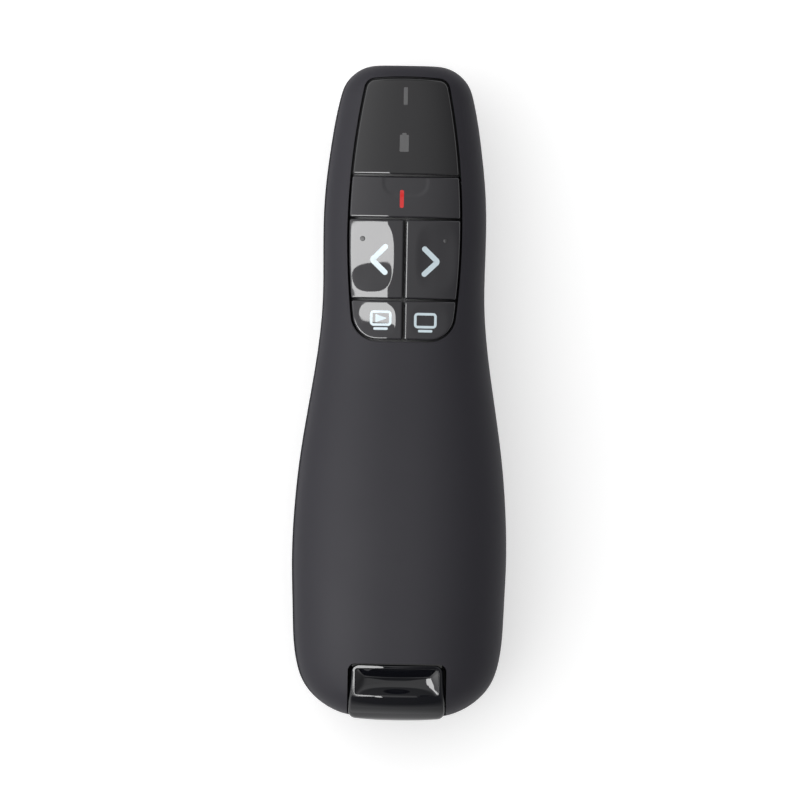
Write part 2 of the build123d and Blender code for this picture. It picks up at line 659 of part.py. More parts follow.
def receiver_cap():
    """Grip at the end of the stick: crowned end, rounded top edge and a thumb hollow."""
    side = Polyline(
        (-CAP_NECK_HALF_WIDTH, CAP_FRONT_Y),
        (-CAP_HALF_WIDTH, CAP_TAPER_Y),
        (-CAP_HALF_WIDTH, CAP_END_Y + CAP_END_CROWN),
    )
    other = mirror(side, about=Plane.YZ)
    end = ThreePointArc(side @ 1, (0, CAP_END_Y), other @ 1)
    front = Line(side @ 0, other @ 0)
    plan = make_face([side, end, other, front])
    plan = fillet(plan.vertices().group_by(Axis.Y)[0], CAP_CORNER_R)
    cap = slab(plan, STICK_BOTTOM_Z, SKY_Z)
    turn_y = CAP_END_Y + CAP_TOP_EDGE_R
    turn_z = CAP_REAR_TOP_Z - CAP_TOP_EDGE_R
    profile = make_face(
        [
            Line((CAP_FRONT_Y, STICK_BOTTOM_Z), (CAP_FRONT_Y, CAP_TOP_Z)),
            Line((CAP_FRONT_Y, CAP_TOP_Z), (turn_y, CAP_REAR_TOP_Z)),
            RadiusArc((turn_y, CAP_REAR_TOP_Z), (CAP_END_Y, turn_z), -CAP_TOP_EDGE_R),
            Line((CAP_END_Y, turn_z), (CAP_END_Y, STICK_BOTTOM_Z)),
            Line((CAP_END_Y, STICK_BOTTOM_Z), (CAP_FRONT_Y, STICK_BOTTOM_Z)),
        ]
    )
    cap &= extrude(Plane.YZ * profile, amount=OUTSIDE, both=True)
    cap &= rod_y(0, CAP_TOP_Z - CAP_CROWN_R, -2 * OUTSIDE, OUTSIDE, CAP_CROWN_R)
    width, length = 2 * THUMB_HALF_WIDTH, THUMB_FRONT_Y - THUMB_REAR_Y
    middle = (THUMB_FRONT_Y + THUMB_REAR_Y) / 2
    mouth = RectangleRounded(width, length, THUMB_CORNER_R)
    floor = RectangleRounded(width - 2 * THUMB_SLOPE, length - 2 * THUMB_SLOPE, THUMB_CORNER_R / 2)
    floor = Pos(0, middle, CAP_REAR_TOP_Z - THUMB_DEPTH) * floor
    mouth = Pos(0, middle, CAP_TOP_Z) * mouth
    return cap - loft([floor.face(), mouth.face()])


def receiver_case():
    """Cap and the upper shell of the stick in one piece."""
    low, high = STICK_BOTTOM_Z + LID_THICK + LID_GAP, STICK_TOP_Z
    stick = block((-STICK_HALF_WIDTH, CAP_FRONT_Y, low), (STICK_HALF_WIDTH, STICK_FRONT_Y, high))
    stick = fillet(stick.edges().filter_by(Axis.Y).group_by(Axis.Z)[-1], STICK_EDGE_R)
    inside = STICK_HALF_WIDTH - STICK_WALL
    stick -= block(
        (-inside, CAP_FRONT_Y + STICK_WALL, STICK_BOTTOM_Z),
        (inside, STICK_FRONT_Y - STICK_WALL, STICK_TOP_Z - STICK_WALL),
    )
    slot_half, slot_high = PLUG_HALF_WIDTH + SEAT_FIT, PLUG_HEIGHT / 2 + SEAT_FIT
    stick -= block(
        (-slot_half, STICK_FRONT_Y - 2 * STICK_WALL, STICK_MID_Z - slot_high),
        (slot_half, STICK_FRONT_Y + STICK_WALL, STICK_MID_Z + slot_high),
    )
    return receiver_cap() + stick


def receiver_lid():
    """Lower cover of the stick."""
    lid = block(
        (-STICK_HALF_WIDTH, CAP_FRONT_Y + LID_GAP, STICK_BOTTOM_Z),
        (STICK_HALF_WIDTH, STICK_FRONT_Y, STICK_BOTTOM_Z + LID_THICK),
    )
    return fillet(lid.edges().filter_by(Axis.Y).group_by(Axis.Z)[0], STICK_EDGE_R)


def usb_plug_shell():
    """Folded steel shell of the plug with its two latch windows on each broad side."""
    rear = STICK_FRONT_Y - 2 * STICK_WALL
    outer = block(
        (-PLUG_HALF_WIDTH, rear, STICK_MID_Z - PLUG_HEIGHT / 2),
        (PLUG_HALF_WIDTH, PLUG_TIP_Y, STICK_MID_Z + PLUG_HEIGHT / 2),
    )
    outer = fillet(outer.edges().filter_by(Axis.Y), 2 * PLUG_WALL)
    inner_half, inner_high = PLUG_HALF_WIDTH - PLUG_WALL, PLUG_HEIGHT / 2 - PLUG_WALL
    shell = outer - block(
        (-inner_half, rear - 1, STICK_MID_Z - inner_high),
        (inner_half, PLUG_TIP_Y + 1, STICK_MID_Z + inner_high),
    )
    for x in (-PLUG_WINDOW_X, PLUG_WINDOW_X):
        middle = PLUG_TIP_Y - PLUG_WINDOW_FROM_TIP
        shell -= block(
            (x - PLUG_WINDOW / 2, middle - PLUG_WINDOW / 2, STICK_MID_Z - PLUG_HEIGHT),
            (x + PLUG_WINDOW / 2, middle + PLUG_WINDOW / 2, STICK_MID_Z + PLUG_HEIGHT),
        )
    return shell


RX_BOARD_Z = STICK_MID_Z - RX_BOARD_THICK / 2
RX_BOARD_REAR_Y = CAP_FRONT_Y + 2 * STICK_WALL
RX_BOARD_FRONT_Y = STICK_FRONT_Y - 2 * STICK_WALL
USB_TONGUE_TOP_Z = STICK_MID_Z + PLUG_HEIGHT / 2 - PLUG_WALL - SEAT_FIT


def usb_tongue():
    """Insulator that carries the four contacts inside the plug."""
    tongue = block(
        (-TONGUE_HALF_WIDTH, RX_BOARD_FRONT_Y, USB_TONGUE_TOP_Z - USB_TONGUE_THICK),
        (TONGUE_HALF_WIDTH, PLUG_TIP_Y - PLUG_WALL, USB_TONGUE_TOP_Z),
    )
    return chamfer(tongue.edges().filter_by(Axis.X).group_by(Axis.Y)[-1], PLUG_WALL)


def usb_contacts():
    """Four flat contacts under the tongue."""
    top = USB_TONGUE_TOP_Z - USB_TONGUE_THICK
    front = PLUG_TIP_Y - 2 * PLUG_WALL - PLUG_WALL
    pins = []
    for k in range(4):
        x = (k - 1.5) * USB_PIN_PITCH
        pins.append(
            block(
                (x - USB_PIN_WIDTH / 2, front - USB_PIN_LENGTH, top - USB_PIN_THICK),
                (x + USB_PIN_WIDTH / 2, front, top),
            )
        )
    return Compound(children=pins)


def receiver_board():
    return block(
        (-RX_BOARD_HALF_WIDTH, RX_BOARD_REAR_Y, RX_BOARD_Z),
        (RX_BOARD_HALF_WIDTH, RX_BOARD_FRONT_Y, RX_BOARD_Z + RX_BOARD_THICK),
    )


def receiver_chip():
    middle = (RX_BOARD_REAR_Y + RX_BOARD_FRONT_Y) / 2
    top = RX_BOARD_Z + RX_BOARD_THICK
    return block(
        (-RX_CHIP_SIDE / 2, middle - RX_CHIP_SIDE / 2, top),
        (RX_CHIP_SIDE / 2, middle + RX_CHIP_SIDE / 2, top + RX_CHIP_HEIGHT),
    )


def receiver_sleeve():
    """Tube that stores the stick, with an open tray under the cap."""
    inner_half = STICK_HALF_WIDTH + SLEEVE_FIT
    outer_half = inner_half + SLEEVE_WALL
    low, high = STICK_BOTTOM_Z - SLEEVE_FIT, STICK_TOP_Z + SLEEVE_FIT
    front = SLEEVE_MOUTH_Y + SLEEVE_LENGTH
    tube = block((-outer_half, SLEEVE_MOUTH_Y, SLEEVE_BOTTOM_Z), (outer_half, front, high + SLEEVE_WALL))
    tube -= block((-inner_half, SLEEVE_MOUTH_Y - 1, low), (inner_half, front - SLEEVE_WALL, high))
    return tube + block((-outer_half, TRAY_REAR_Y, SLEEVE_BOTTOM_Z), (outer_half, SLEEVE_MOUTH_Y, low))


# ------------------------------------------------------------------------------------------------
# Board and its parts
# ------------------------------------------------------------------------------------------------
BOARD_BOTTOM_Z = BOARD_TOP_Z - BOARD_THICK
BOARD_REAR_Y = BAY_FRONT_Y + BOARD_SETBACK
BOARD_SCREW_REAR_Y = BOARD_REAR_Y + BOARD_SCREW_EDGE
BOARD_SCREW_SPOTS = (
    (-BOARD_SCREW_REAR_X, BOARD_SCREW_REAR_Y),
    (BOARD_SCREW_REAR_X, BOARD_SCREW_REAR_Y),
    (-BOARD_SCREW_FRONT_X, BOARD_SCREW_FRONT_Y),
    (BOARD_SCREW_FRONT_X, BOARD_SCREW_FRONT_Y),
)
FRONT_SCREW_Y = BAY_FRONT_Y + FRONT_SCREW_SETBACK
HOUSING_SCREW_SPOTS = (
    (-REAR_SCREW_X, REAR_SCREW_Y),
    (REAR_SCREW_X, REAR_SCREW_Y),
    (-FRONT_SCREW_X, FRONT_SCREW_Y),
    (FRONT_SCREW_X, FRONT_SCREW_Y),
)


def main_board():
    """Board whose edge follows the housing, with holes for its screws."""
    board = body_form(WALL + BOARD_EDGE_GAP) & block(
        (-OUTSIDE, BOARD_REAR_Y, BOARD_BOTTOM_Z), (OUTSIDE, BOARD_FRONT_Y, BOARD_TOP_Z)
    )
    for x, y in BOARD_SCREW_SPOTS:
        board -= rod_z(x, y, BOARD_BOTTOM_Z - 1, BOARD_TOP_Z + 1, BOARD_SCREW_R + SEAT_FIT)
    return board


def tact_switch_body(name):
    """Square switch with a metal top plate and four leads."""
    x, y = SWITCH_SPOTS[name]
    half = SWITCH_SIDE / 2
    top = BOARD_TOP_Z + SWITCH_HEIGHT
    body = block((x - half, y - half, BOARD_TOP_Z), (x + half, y + half, top - SWITCH_PLATE))
    body = chamfer(body.edges().filter_by(Axis.Z), SWITCH_PLATE)
    body += block(
        (x - half + SWITCH_PLATE, y - half + SWITCH_PLATE, top - SWITCH_PLATE),
        (x + half - SWITCH_PLATE, y + half - SWITCH_PLATE, top),
    )
    for dx in (-1, 1):
        for dy in (-1, 1):
            lead_x = x + dx * (half + LEAD_REACH / 2)
            lead_y = y + dy * half / 2
            body += block(
                (lead_x - LEAD_REACH / 2, lead_y - LEAD_WIDTH / 2, BOARD_TOP_Z),
                (lead_x + LEAD_REACH / 2, lead_y + LEAD_WIDTH / 2, BOARD_TOP_Z + SWITCH_PLATE),
            )
    return body - rod_z(x, y, top - KEY_TRAVEL - SWITCH_PLATE, top + 1, PLUNGER_R + SEAT_FIT)


def tact_switch_plunger(name):
    """Round plunger between the switch and the key's post."""
    x, y = SWITCH_SPOTS[name]
    top = BOARD_TOP_Z + SWITCH_HEIGHT
    return rod_z(x, y, top, top + PLUNGER_HEIGHT, PLUNGER_R)


def led(y):
    return block(
        (LED_X - LED_WIDTH / 2, y - LED_LENGTH / 2, BOARD_TOP_Z),
        (LED_X + LED_WIDTH / 2, y + LED_LENGTH / 2, BOARD_TOP_Z + LED_HEIGHT),
    )


def light_guide(y):
    """Clear rod between an LED and the status window."""
    low = BOARD_TOP_Z + LED_HEIGHT + GUIDE_GAP
    under_window = section_size(y + GUIDE_R)[1] + KEY_PROUD - KEY_PLATE
    return rod_z(LED_X, y, low, under_window - 2 * GUIDE_GAP, GUIDE_R)


def chip(x, y, side_x, side_y, height):
    """Small part on the board's upper face."""
    return block(
        (x - side_x / 2, y - side_y / 2, BOARD_TOP_Z),
        (x + side_x / 2, y + side_y / 2, BOARD_TOP_Z + height),
    )


RADIO_CHIP = (3.4, 47.2, 4.0, 4.0, 0.9)
CRYSTAL = (-3.6, 48.0, 2.5, 3.2, 0.8)
INDUCTOR = (3.6, 41.8, 3.0, 3.0, 1.6)
CAPACITOR_SPOTS = ((-4.8, 44.2), (-2.6, 41.4), (-4.8, 41.4))
CAPACITOR_SIZE = (1.2, 2.0, 1.2)


def filter_capacitors():
    return Compound(children=[chip(x, y, *CAPACITOR_SIZE) for x, y in CAPACITOR_SPOTS])


# ------------------------------------------------------------------------------------------------
# Laser
# ------------------------------------------------------------------------------------------------
def laser_barrel():
    barrel = rod_y(0, PARTING_Z, BARREL_REAR_Y, BARREL_FRONT_Y, BARREL_R)
    barrel -= rod_y(0, PARTING_Z, BARREL_REAR_Y - 1, BARREL_FRONT_Y - BARREL_LIP, BARREL_BORE_R)
    return barrel - rod_y(0, PARTING_Z, BARREL_REAR_Y, BARREL_FRONT_Y + 1, BARREL_MOUTH_R)


def laser_lens():
    front = BARREL_FRONT_Y - BARREL_LIP
    return rod_y(0, PARTING_Z, front - LENS_THICK, front, BARREL_BORE_R - RADIAL_FIT)


def laser_diode():
    can = rod_y(0, PARTING_Z, BARREL_REAR_Y, BARREL_REAR_Y + DIODE_LENGTH, BARREL_BORE_R - RADIAL_FIT)
    return fillet(can.edges().group_by(Axis.Y)[-1], BARREL_LIP)


def laser_driver_board():
    return block(
        (-DRIVER_HALF_WIDTH, BARREL_REAR_Y - DRIVER_LENGTH, PARTING_Z - DRIVER_THICK / 2),
        (DRIVER_HALF_WIDTH, BARREL_REAR_Y, PARTING_Z + DRIVER_THICK / 2),
    )


def aperture_ring():
    """Bezel of the laser exit in the nose."""
    ring = rod_y(0, PARTING_Z, NOSE_Y - APERTURE_LENGTH, NOSE_Y, APERTURE_R)
    ring -= rod_y(0, PARTING_Z, NOSE_Y - APERTURE_RECESS - APERTURE_GLASS, NOSE_Y + 1, APERTURE_BORE_R)
    return ring - rod_y(0, PARTING_Z, NOSE_Y - APERTURE_LENGTH - 1, NOSE_Y, APERTURE_EXIT_R)


def aperture_window():
    front = NOSE_Y - APERTURE_RECESS
    return rod_y(0, PARTING_Z, front - APERTURE_GLASS, front, APERTURE_BORE_R - RADIAL_FIT)


# ------------------------------------------------------------------------------------------------
# Power slider
# ------------------------------------------------------------------------------------------------
SLIDER_OUTER_X = -section_size(SLIDER_Y)[0]
SLIDER_FACE_X = SLIDER_OUTER_X + SLIDER_RECESS
SLIDER_INNER_X = SLIDER_OUTER_X + WALL + SLIDER_INSET
FLANGE_X = SLIDER_INNER_X + SLIDER_FLANGE
LEVER_Z = BOARD_BOTTOM_Z - POWER_SWITCH_HEIGHT / 2
SWITCH_X = FLANGE_X + SLIDER_GAP


def power_slider():
    """Knob in the side of the housing, its inner flange and the fork round the switch lever."""
    length = SLIDER_HALF_LENGTH
    knob = block(
        (SLIDER_FACE_X, SLIDER_Y - length, SLIDER_Z - SLIDER_HALF_HEIGHT),
        (FLANGE_X, SLIDER_Y + length, SLIDER_Z + SLIDER_HALF_HEIGHT),
    )
    knob = fillet(knob.edges().filter_by(Axis.X), SLIDER_HALF_HEIGHT / 2)
    for k in range(SLIDER_RIDGES):
        y = SLIDER_Y + (k - (SLIDER_RIDGES - 1) / 2) * SLIDER_RIDGE_PITCH
        knob -= rod_z(SLIDER_FACE_X, y, 0, SKY_Z, SLIDER_RIDGE)
    lap = SLIDER_FLANGE_LAP
    flange = block(
        (SLIDER_INNER_X, SLIDER_Y - length - lap, SLIDER_Z - SLIDER_FLANGE_DROP),
        (FLANGE_X, SLIDER_Y + length + lap, LEVER_Z + POWER_LEVER / 2 + FORK_WALL / 2),
    )
    slot = POWER_LEVER / 2 + SEAT_FIT
    flange -= block(
        (SLIDER_INNER_X - 1, SLIDER_Y - slot, LEVER_Z - slot),
        (FLANGE_X + 1, SLIDER_Y + slot, SKY_Z),
    )
    return knob + flange


def power_switch_body():
    middle = SLIDER_Y + SLIDER_TRAVEL / 2
    half = POWER_SWITCH_LENGTH / 2
    body = block(
        (SWITCH_X, middle - half, BOARD_BOTTOM_Z - POWER_SWITCH_HEIGHT),
        (SWITCH_X + POWER_SWITCH_WIDTH, middle + half, BOARD_BOTTOM_Z),
    )
    slot = POWER_LEVER / 2 + SEAT_FIT
    body -= block(
        (SWITCH_X - 1, SLIDER_Y - slot, LEVER_Z - slot),
        (SWITCH_X + POWER_LEVER_REACH + SEAT_FIT, SLIDER_Y + SLIDER_TRAVEL + slot, LEVER_Z + slot),
    )
    return body


def power_switch_lever():
    half = POWER_LEVER / 2
    return block(
        (SLIDER_INNER_X, SLIDER_Y - half, LEVER_Z - half),
        (SWITCH_X + POWER_LEVER_REACH, SLIDER_Y + half, LEVER_Z + half),
    )


# ------------------------------------------------------------------------------------------------
# Screws
# ------------------------------------------------------------------------------------------------
def screw(shank_r, length, head_r, head):
    """Pan-head screw pointing up, its head's upper face at z = 0."""
    body = rod_z(0, 0, 0, length, shank_r) + rod_z(0, 0, -head, 0, head_r)
    body = fillet(body.edges().group_by(Axis.Z)[0], head / 3)
    for turn in (0, 90):
        bar = block(
            (-DRIVE_RECESS_R, -DRIVE_RECESS_R / 3, -head - 1),
            (DRIVE_RECESS_R, DRIVE_RECESS_R / 3, -head + DRIVE_RECESS_DEPTH),
        )
        body -= Rot(0, 0, turn) * bar
    return body


def housing_screws():
    made = screw(HOUSING_SCREW_R, HOUSING_SCREW_LENGTH, HOUSING_SCREW_HEAD_R, HOUSING_SCREW_HEAD)
    placed = [Pos(x, y, HOUSING_SCREW_SEAT_Z) * made for x, y in HOUSING_SCREW_SPOTS]
    return Compound(children=[one.solid() for one in placed])


def board_screws():
    made = Rot(180, 0, 0) * screw(BOARD_SCREW_R, BOARD_SCREW_LENGTH, BOARD_SCREW_HEAD_R, BOARD_SCREW_HEAD)
    placed = [Pos(x, y, BOARD_TOP_Z) * made for x, y in BOARD_SCREW_SPOTS]
    return Compound(children=[one.solid() for one in placed])


# ------------------------------------------------------------------------------------------------
# Housings
# ------------------------------------------------------------------------------------------------
WELL_R = HOUSING_SCREW_HEAD_R + SEAT_FIT


def receiver_notch():
    """Opening in the tail for the cap."""
    plan = Pos(0, (NOTCH_FRONT_Y - OUTSIDE) / 2) * Rectangle(2 * NOTCH_HALF_WIDTH, NOTCH_FRONT_Y + OUTSIDE)
    plan = fillet(plan.vertices().group_by(Axis.Y)[-1], NOTCH_CORNER_R)
    return slab(plan, STICK_BOTTOM_Z - SLEEVE_FIT, SKY_Z)


def top_housing():
    """Upper shell with its screw bosses, the keypad opening, the receiver notch and half of the
    laser exit."""
    shell = (FORM & UPPER_SPACE) - CAVITY
    frame_space = slab(offset(KEYPAD, amount=FRAME_RIM + SEAT_FIT), FRAME_BOTTOM_Z - SEAT_FIT, SKY_Z)
    for x, y in HOUSING_SCREW_SPOTS:
        shell += (rod_z(x, y, PARTING_Z, SKY_Z, HOUSING_BOSS_R) & SEAT_FORM) - frame_space
    for x, y in HOUSING_SCREW_SPOTS:
        tip = HOUSING_SCREW_SEAT_Z + HOUSING_SCREW_LENGTH + SEAT_FIT
        shell -= rod_z(x, y, 0, tip, HOUSING_SCREW_R + SCREW_HOLE_FIT)
    shell -= slab(KEYPAD_OPENING, PARTING_Z + WALL, SKY_Z)
    shell -= receiver_notch()
    return shell - rod_y(0, PARTING_Z, BARREL_FRONT_Y, NOSE_Y + 1, APERTURE_R + SEAT_FIT)


def bottom_housing():
    """Lower shell with the battery bay, the door's rails, bosses for the board, screw wells, saddles
    for the laser, the slider's slot and half of the laser exit."""
    shell = (FORM & LOWER_SPACE) - CAVITY
    bay_half = BAY_HALF_WIDTH + BAY_WALL
    ledge = block((-OUTSIDE, -OUTSIDE, LEDGE_Z), (OUTSIDE, DOOR_FRONT_Y + BAY_WALL, LEDGE_Z + BAY_WALL))
    apron = block((-OUTSIDE, DOOR_FRONT_Y, 0), (OUTSIDE, DOOR_FRONT_Y + BAY_WALL, LEDGE_Z + BAY_WALL))
    parts = [ledge, apron]
    saddle_half = BARREL_R + WALL
    for y in (BARREL_REAR_Y + SADDLE_INSET, BARREL_FRONT_Y - SADDLE_INSET):
        saddle = block((-saddle_half, y - BAY_WALL / 2, 0), (saddle_half, y + BAY_WALL / 2, PARTING_Z))
        parts.append(saddle)
    for x, y in HOUSING_SCREW_SPOTS:
        parts.append(rod_z(x, y, 0, HOUSING_SCREW_SEAT_Z + HOUSING_SCREW_SEAT, WELL_R + BAY_WALL))
        parts.append(rod_z(x, y, 0, PARTING_Z, HOUSING_BOSS_R))
    for x, y in BOARD_SCREW_SPOTS:
        parts.append(rod_z(x, y, 0, BOARD_BOTTOM_Z, BOARD_BOSS_R))
    for part in parts:
        shell += part & SEAT_FORM
    shell += block(
        (-bay_half, BAY_REAR_Y - BAY_WALL, LEDGE_Z),
        (bay_half, BAY_FRONT_Y + BAY_WALL, BAY_ROOF_Z),
    )
    shell -= block((-BAY_HALF_WIDTH, BAY_REAR_Y, 0), (BAY_HALF_WIDTH, BAY_FRONT_Y, BAY_CEILING_Z))
    shell -= door_space(DOOR_GAP)
    rail = DOOR_HALF_WIDTH + TONGUE_DEPTH + DOOR_GAP
    rail_front = max(TONGUE_Y) + TONGUE_LENGTH / 2 + DOOR_GAP
    shell -= block(
        (-rail, -OUTSIDE, TONGUE_Z - TONGUE_THICK / 2 - DOOR_GAP),
        (rail, rail_front, TONGUE_Z + TONGUE_THICK / 2 + DOOR_GAP),
    )
    for x, y in HOUSING_SCREW_SPOTS:
        shell -= rod_z(x, y, -1, HOUSING_SCREW_SEAT_Z, WELL_R)
        shell -= rod_z(x, y, 0, SKY_Z, HOUSING_SCREW_R + SEAT_FIT)
    for x, y in BOARD_SCREW_SPOTS:
        tip = BOARD_TOP_Z - BOARD_SCREW_LENGTH - SEAT_FIT
        shell -= rod_z(x, y, tip, SKY_Z, BOARD_SCREW_R + SCREW_HOLE_FIT)
    shell -= rod_y(0, PARTING_Z, BARREL_REAR_Y - 1, BARREL_FRONT_Y + SEAT_FIT, BARREL_R + SEAT_FIT)
    shell -= rod_y(0, PARTING_Z, BARREL_FRONT_Y, NOSE_Y + 1, APERTURE_R + SEAT_FIT)
    shell -= block(
        (-OUTSIDE, SLIDER_Y - SLIDER_HALF_LENGTH - SLIDER_GAP, SLIDER_Z - SLIDER_HALF_HEIGHT - SLIDER_GAP),
        (
            FLANGE_X + SLIDER_GAP,
            SLIDER_Y + SLIDER_HALF_LENGTH + SLIDER_TRAVEL + SLIDER_GAP,
            SLIDER_Z + SLIDER_HALF_HEIGHT + SLIDER_GAP,
        ),
    )
    return shell


def status_window():
    """Smoked window over the indicators, standing on the board on its skirt."""
    return cap_plate(WINDOW_PLAN, BOARD_TOP_Z + SEAT_FIT)


# ------------------------------------------------------------------------------------------------
# All the pieces
# ------------------------------------------------------------------------------------------------
PIECES = {
    "top_housing": top_housing(),
    "bottom_housing": bottom_housing(),
    "battery_door": battery_door(),
    "status_window": status_window(),
    "key_guide_frame": key_guide_frame(),
    "main_board": main_board(),
    "radio_chip": chip(*RADIO_CHIP),
    "quartz_crystal": chip(*CRYSTAL),
    "boost_inductor": chip(*INDUCTOR),
    "filter_capacitors": filter_capacitors(),
    "laser_led": led(LASER_LED_Y),
    "battery_led": led(BATTERY_LED_Y),
    "laser_light_guide": light_guide(LASER_LED_Y),
    "battery_light_guide": light_guide(BATTERY_LED_Y),
    "laser_barrel": laser_barrel(),
    "laser_lens": laser_lens(),
    "laser_diode": laser_diode(),
    "laser_driver_board": laser_driver_board(),
    "aperture_ring": aperture_ring(),
    "aperture_window": aperture_window(),
    "power_slider": power_slider(),
    "power_switch_body": power_switch_body(),
    "power_switch_lever": power_switch_lever(),
    "cell_left": cell(-1),
    "cell_right": cell(1),
    "contact_positive": contact_positive(),
    "contact_negative": contact_negative(),
    "contact_bridge": contact_bridge(),
    "receiver_case": receiver_case(),
    "receiver_lid": receiver_lid(),
    "receiver_board": receiver_board(),
    "receiver_chip": receiver_chip(),
    "usb_plug_shell": usb_plug_shell(),
    "usb_tongue": usb_tongue(),
    "usb_contacts": usb_contacts(),
    "receiver_sleeve": receiver_sleeve(),
    "housing_screws": housing_screws(),
    "board_screws": board_screws(),
}
for key_name in SWITCH_SPOTS:
    PIECES[f"{key_name}_button"] = key(key_name)
    PIECES[f"tact_switch_body_{key_name}"] = tact_switch_body(key_name)
    PIECES[f"tact_switch_plunger_{key_name}"] = tact_switch_plunger(key_name)

for node, piece in PIECES.items():
    export_step(piece, f"parts/{node}.step")
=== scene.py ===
"""Looks of a wireless presentation clicker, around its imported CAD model.

Units in the formulas are millimetres, and put() turns them into metres. +Y runs to the nose, where
the laser comes out, +X is the right side seen from above, and the clicker lies on its belly, keys up.
"""

import json
import math

import bmesh
import bpy
import numpy as np
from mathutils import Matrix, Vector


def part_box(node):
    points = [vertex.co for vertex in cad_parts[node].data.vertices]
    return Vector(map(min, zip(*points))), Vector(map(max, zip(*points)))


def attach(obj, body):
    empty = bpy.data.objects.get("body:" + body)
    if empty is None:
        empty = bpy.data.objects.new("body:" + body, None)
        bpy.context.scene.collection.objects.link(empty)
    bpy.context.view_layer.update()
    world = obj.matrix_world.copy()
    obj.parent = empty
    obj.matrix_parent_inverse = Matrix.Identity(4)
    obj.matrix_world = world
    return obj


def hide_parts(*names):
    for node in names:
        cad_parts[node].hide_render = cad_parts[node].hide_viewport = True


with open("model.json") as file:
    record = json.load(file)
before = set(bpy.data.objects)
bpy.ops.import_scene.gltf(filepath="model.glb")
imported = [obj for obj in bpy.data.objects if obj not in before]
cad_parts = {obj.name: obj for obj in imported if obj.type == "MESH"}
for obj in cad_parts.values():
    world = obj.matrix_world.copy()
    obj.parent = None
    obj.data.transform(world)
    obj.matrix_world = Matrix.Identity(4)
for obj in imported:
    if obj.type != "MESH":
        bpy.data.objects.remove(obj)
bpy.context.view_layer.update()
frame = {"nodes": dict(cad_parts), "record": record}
NODES = frame["nodes"]
MM = 0.001

# ---- Body form, the same as the solids' ----
NOSE_Y, TAIL_Y, PARTING_Z = 57.75, -57.05, 12.0
NOSE_CORNER_R, TAIL_CORNER_R, NOSE_EDGE_R, TAIL_EDGE_R = 5.7, 9.5, 3.2, 4.8
UPPER_POWER, LOWER_POWER = 2.7, 3.2
PLAN = np.array([
    (TAIL_Y, 16.2), (-48.0, 17.78), (-40.0, 18.55), (-29.0, 18.93), (-14.7, 18.18), (-0.5, 16.18),
    (8.0, 14.92), (17.8, 14.2), (30.6, 14.41), (43.3, 13.28), (51.8, 11.75), (NOSE_Y, 10.9),
])
CREST = np.array([
    (TAIL_Y, 24.8), (-45.0, 26.7), (-30.0, 27.4), (-12.0, 26.6), (6.0, 24.9), (24.0, 23.7),
    (40.0, 22.7), (NOSE_Y, 20.8),
])
BELLY = np.array([
    (TAIL_Y, 3.0), (-51.5, 0.2), (-42.0, -0.6), (-22.0, -0.9), (-2.0, -0.8), (6.0, -0.3),
    (13.0, 1.6), (22.0, 4.8), (32.0, 6.4), (44.0, 5.9), (NOSE_Y, 4.2),
])

# Keypad: the slit's centre line, the slits between the keys, and the keys' edges.
KEY_GAP, KEY_PROUD, KEY_PLATE, KEY_EDGE_R = 0.4, 0.15, 1.35, 0.3
KEY_LEDGE, KEY_SKIRT_WALL, KEY_SKIRT_Z, WINDOW_SKIRT_Z = 0.8, 0.9, 19.4, 16.4
REAR_Y, REAR_HALF, REAR_R = 9.2, 8.54, 4.6
WIDE_Y, WIDE_HALF = 28.5, 9.95
FRONT_Y, FRONT_HALF, FRONT_R, FRONT_CROWN = 55.2, 7.1, 1.9, 0.43
WINDOW_SPLIT_Y, LASER_SPLIT_Y, ARROW_SPLIT_Y = 38.3, 30.7, 16.4
SLIT_CORNER_R = 0.32
SWITCH_TOP_Z = 19.9


def line_at(stations, y):
    """Value at y on the smooth line through the stations: a cubic Hermite between each pair, whose
    slopes are the distance-weighted means of the neighbouring chords."""
    at, value = stations.T
    span = np.diff(at)
    chord = np.diff(value) / span
    inner = (chord[:-1] * span[1:] + chord[1:] * span[:-1]) / (span[1:] + span[:-1])
    slope = np.concatenate([chord[:1], inner, chord[-1:]])
    i = np.clip(np.searchsorted(at, y) - 1, 0, len(span) - 1)
    t = (y - at[i]) / span[i]
    rise, start, end = chord[i] * span[i], slope[i] * span[i], slope[i + 1] * span[i]
    return value[i] + t * start + t**2 * (3 * rise - 2 * start - end) + t**3 * (start + end - 2 * rise)


def rounding(distance, radius):
    """How far a round edge of this radius has drawn in at this distance from the end: r less the
    root of r squared less (r less the distance) squared."""
    short = np.clip(radius - distance, 0, radius)
    return radius - np.sqrt(np.maximum(radius**2 - short**2, 0))


def section_size(y, inset=0.0):
    """Half width, crest height and belly height of the body at y, drawn in by the inset."""
    to_nose, to_tail = NOSE_Y - inset - y, y - TAIL_Y - inset
    half = line_at(PLAN, y) - inset
    half = half - rounding(to_nose, NOSE_CORNER_R - inset) - rounding(to_tail, TAIL_CORNER_R - inset)
    edge = rounding(to_nose, NOSE_EDGE_R - inset) + rounding(to_tail, TAIL_EDGE_R - inset)
    return half, line_at(CREST, y) - inset - edge, line_at(BELLY, y) + inset + edge


def body_z(x, y):
    """Height of the upper face: the section |x/half|^p + |z/height|^p = 1 above the parting plane."""
    half, crest, _ = section_size(y)
    share = np.clip(1 - np.abs(x / half) ** UPPER_POWER, 0, 1) ** (1 / UPPER_POWER)
    return PARTING_Z + (crest - PARTING_Z) * share


# ---- Meshes ----
def linked(name, data):
    """A new object of the scene."""
    thing = bpy.data.objects.new(name, data)
    bpy.context.scene.collection.objects.link(thing)
    return thing


def place(name, mesh, body, nodes=()):
    """Makes the mesh a piece that rides on its body and stands for the nodes."""
    piece = linked(name, mesh)
    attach(piece, body)
    if nodes:
        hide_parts(*nodes)


def shade(mesh, smooth):
    """Smooth shading between faces that meet at under this angle, in degrees."""
    mesh.shade_smooth()
    mesh.set_sharp_from_angle(angle=math.radians(smooth))


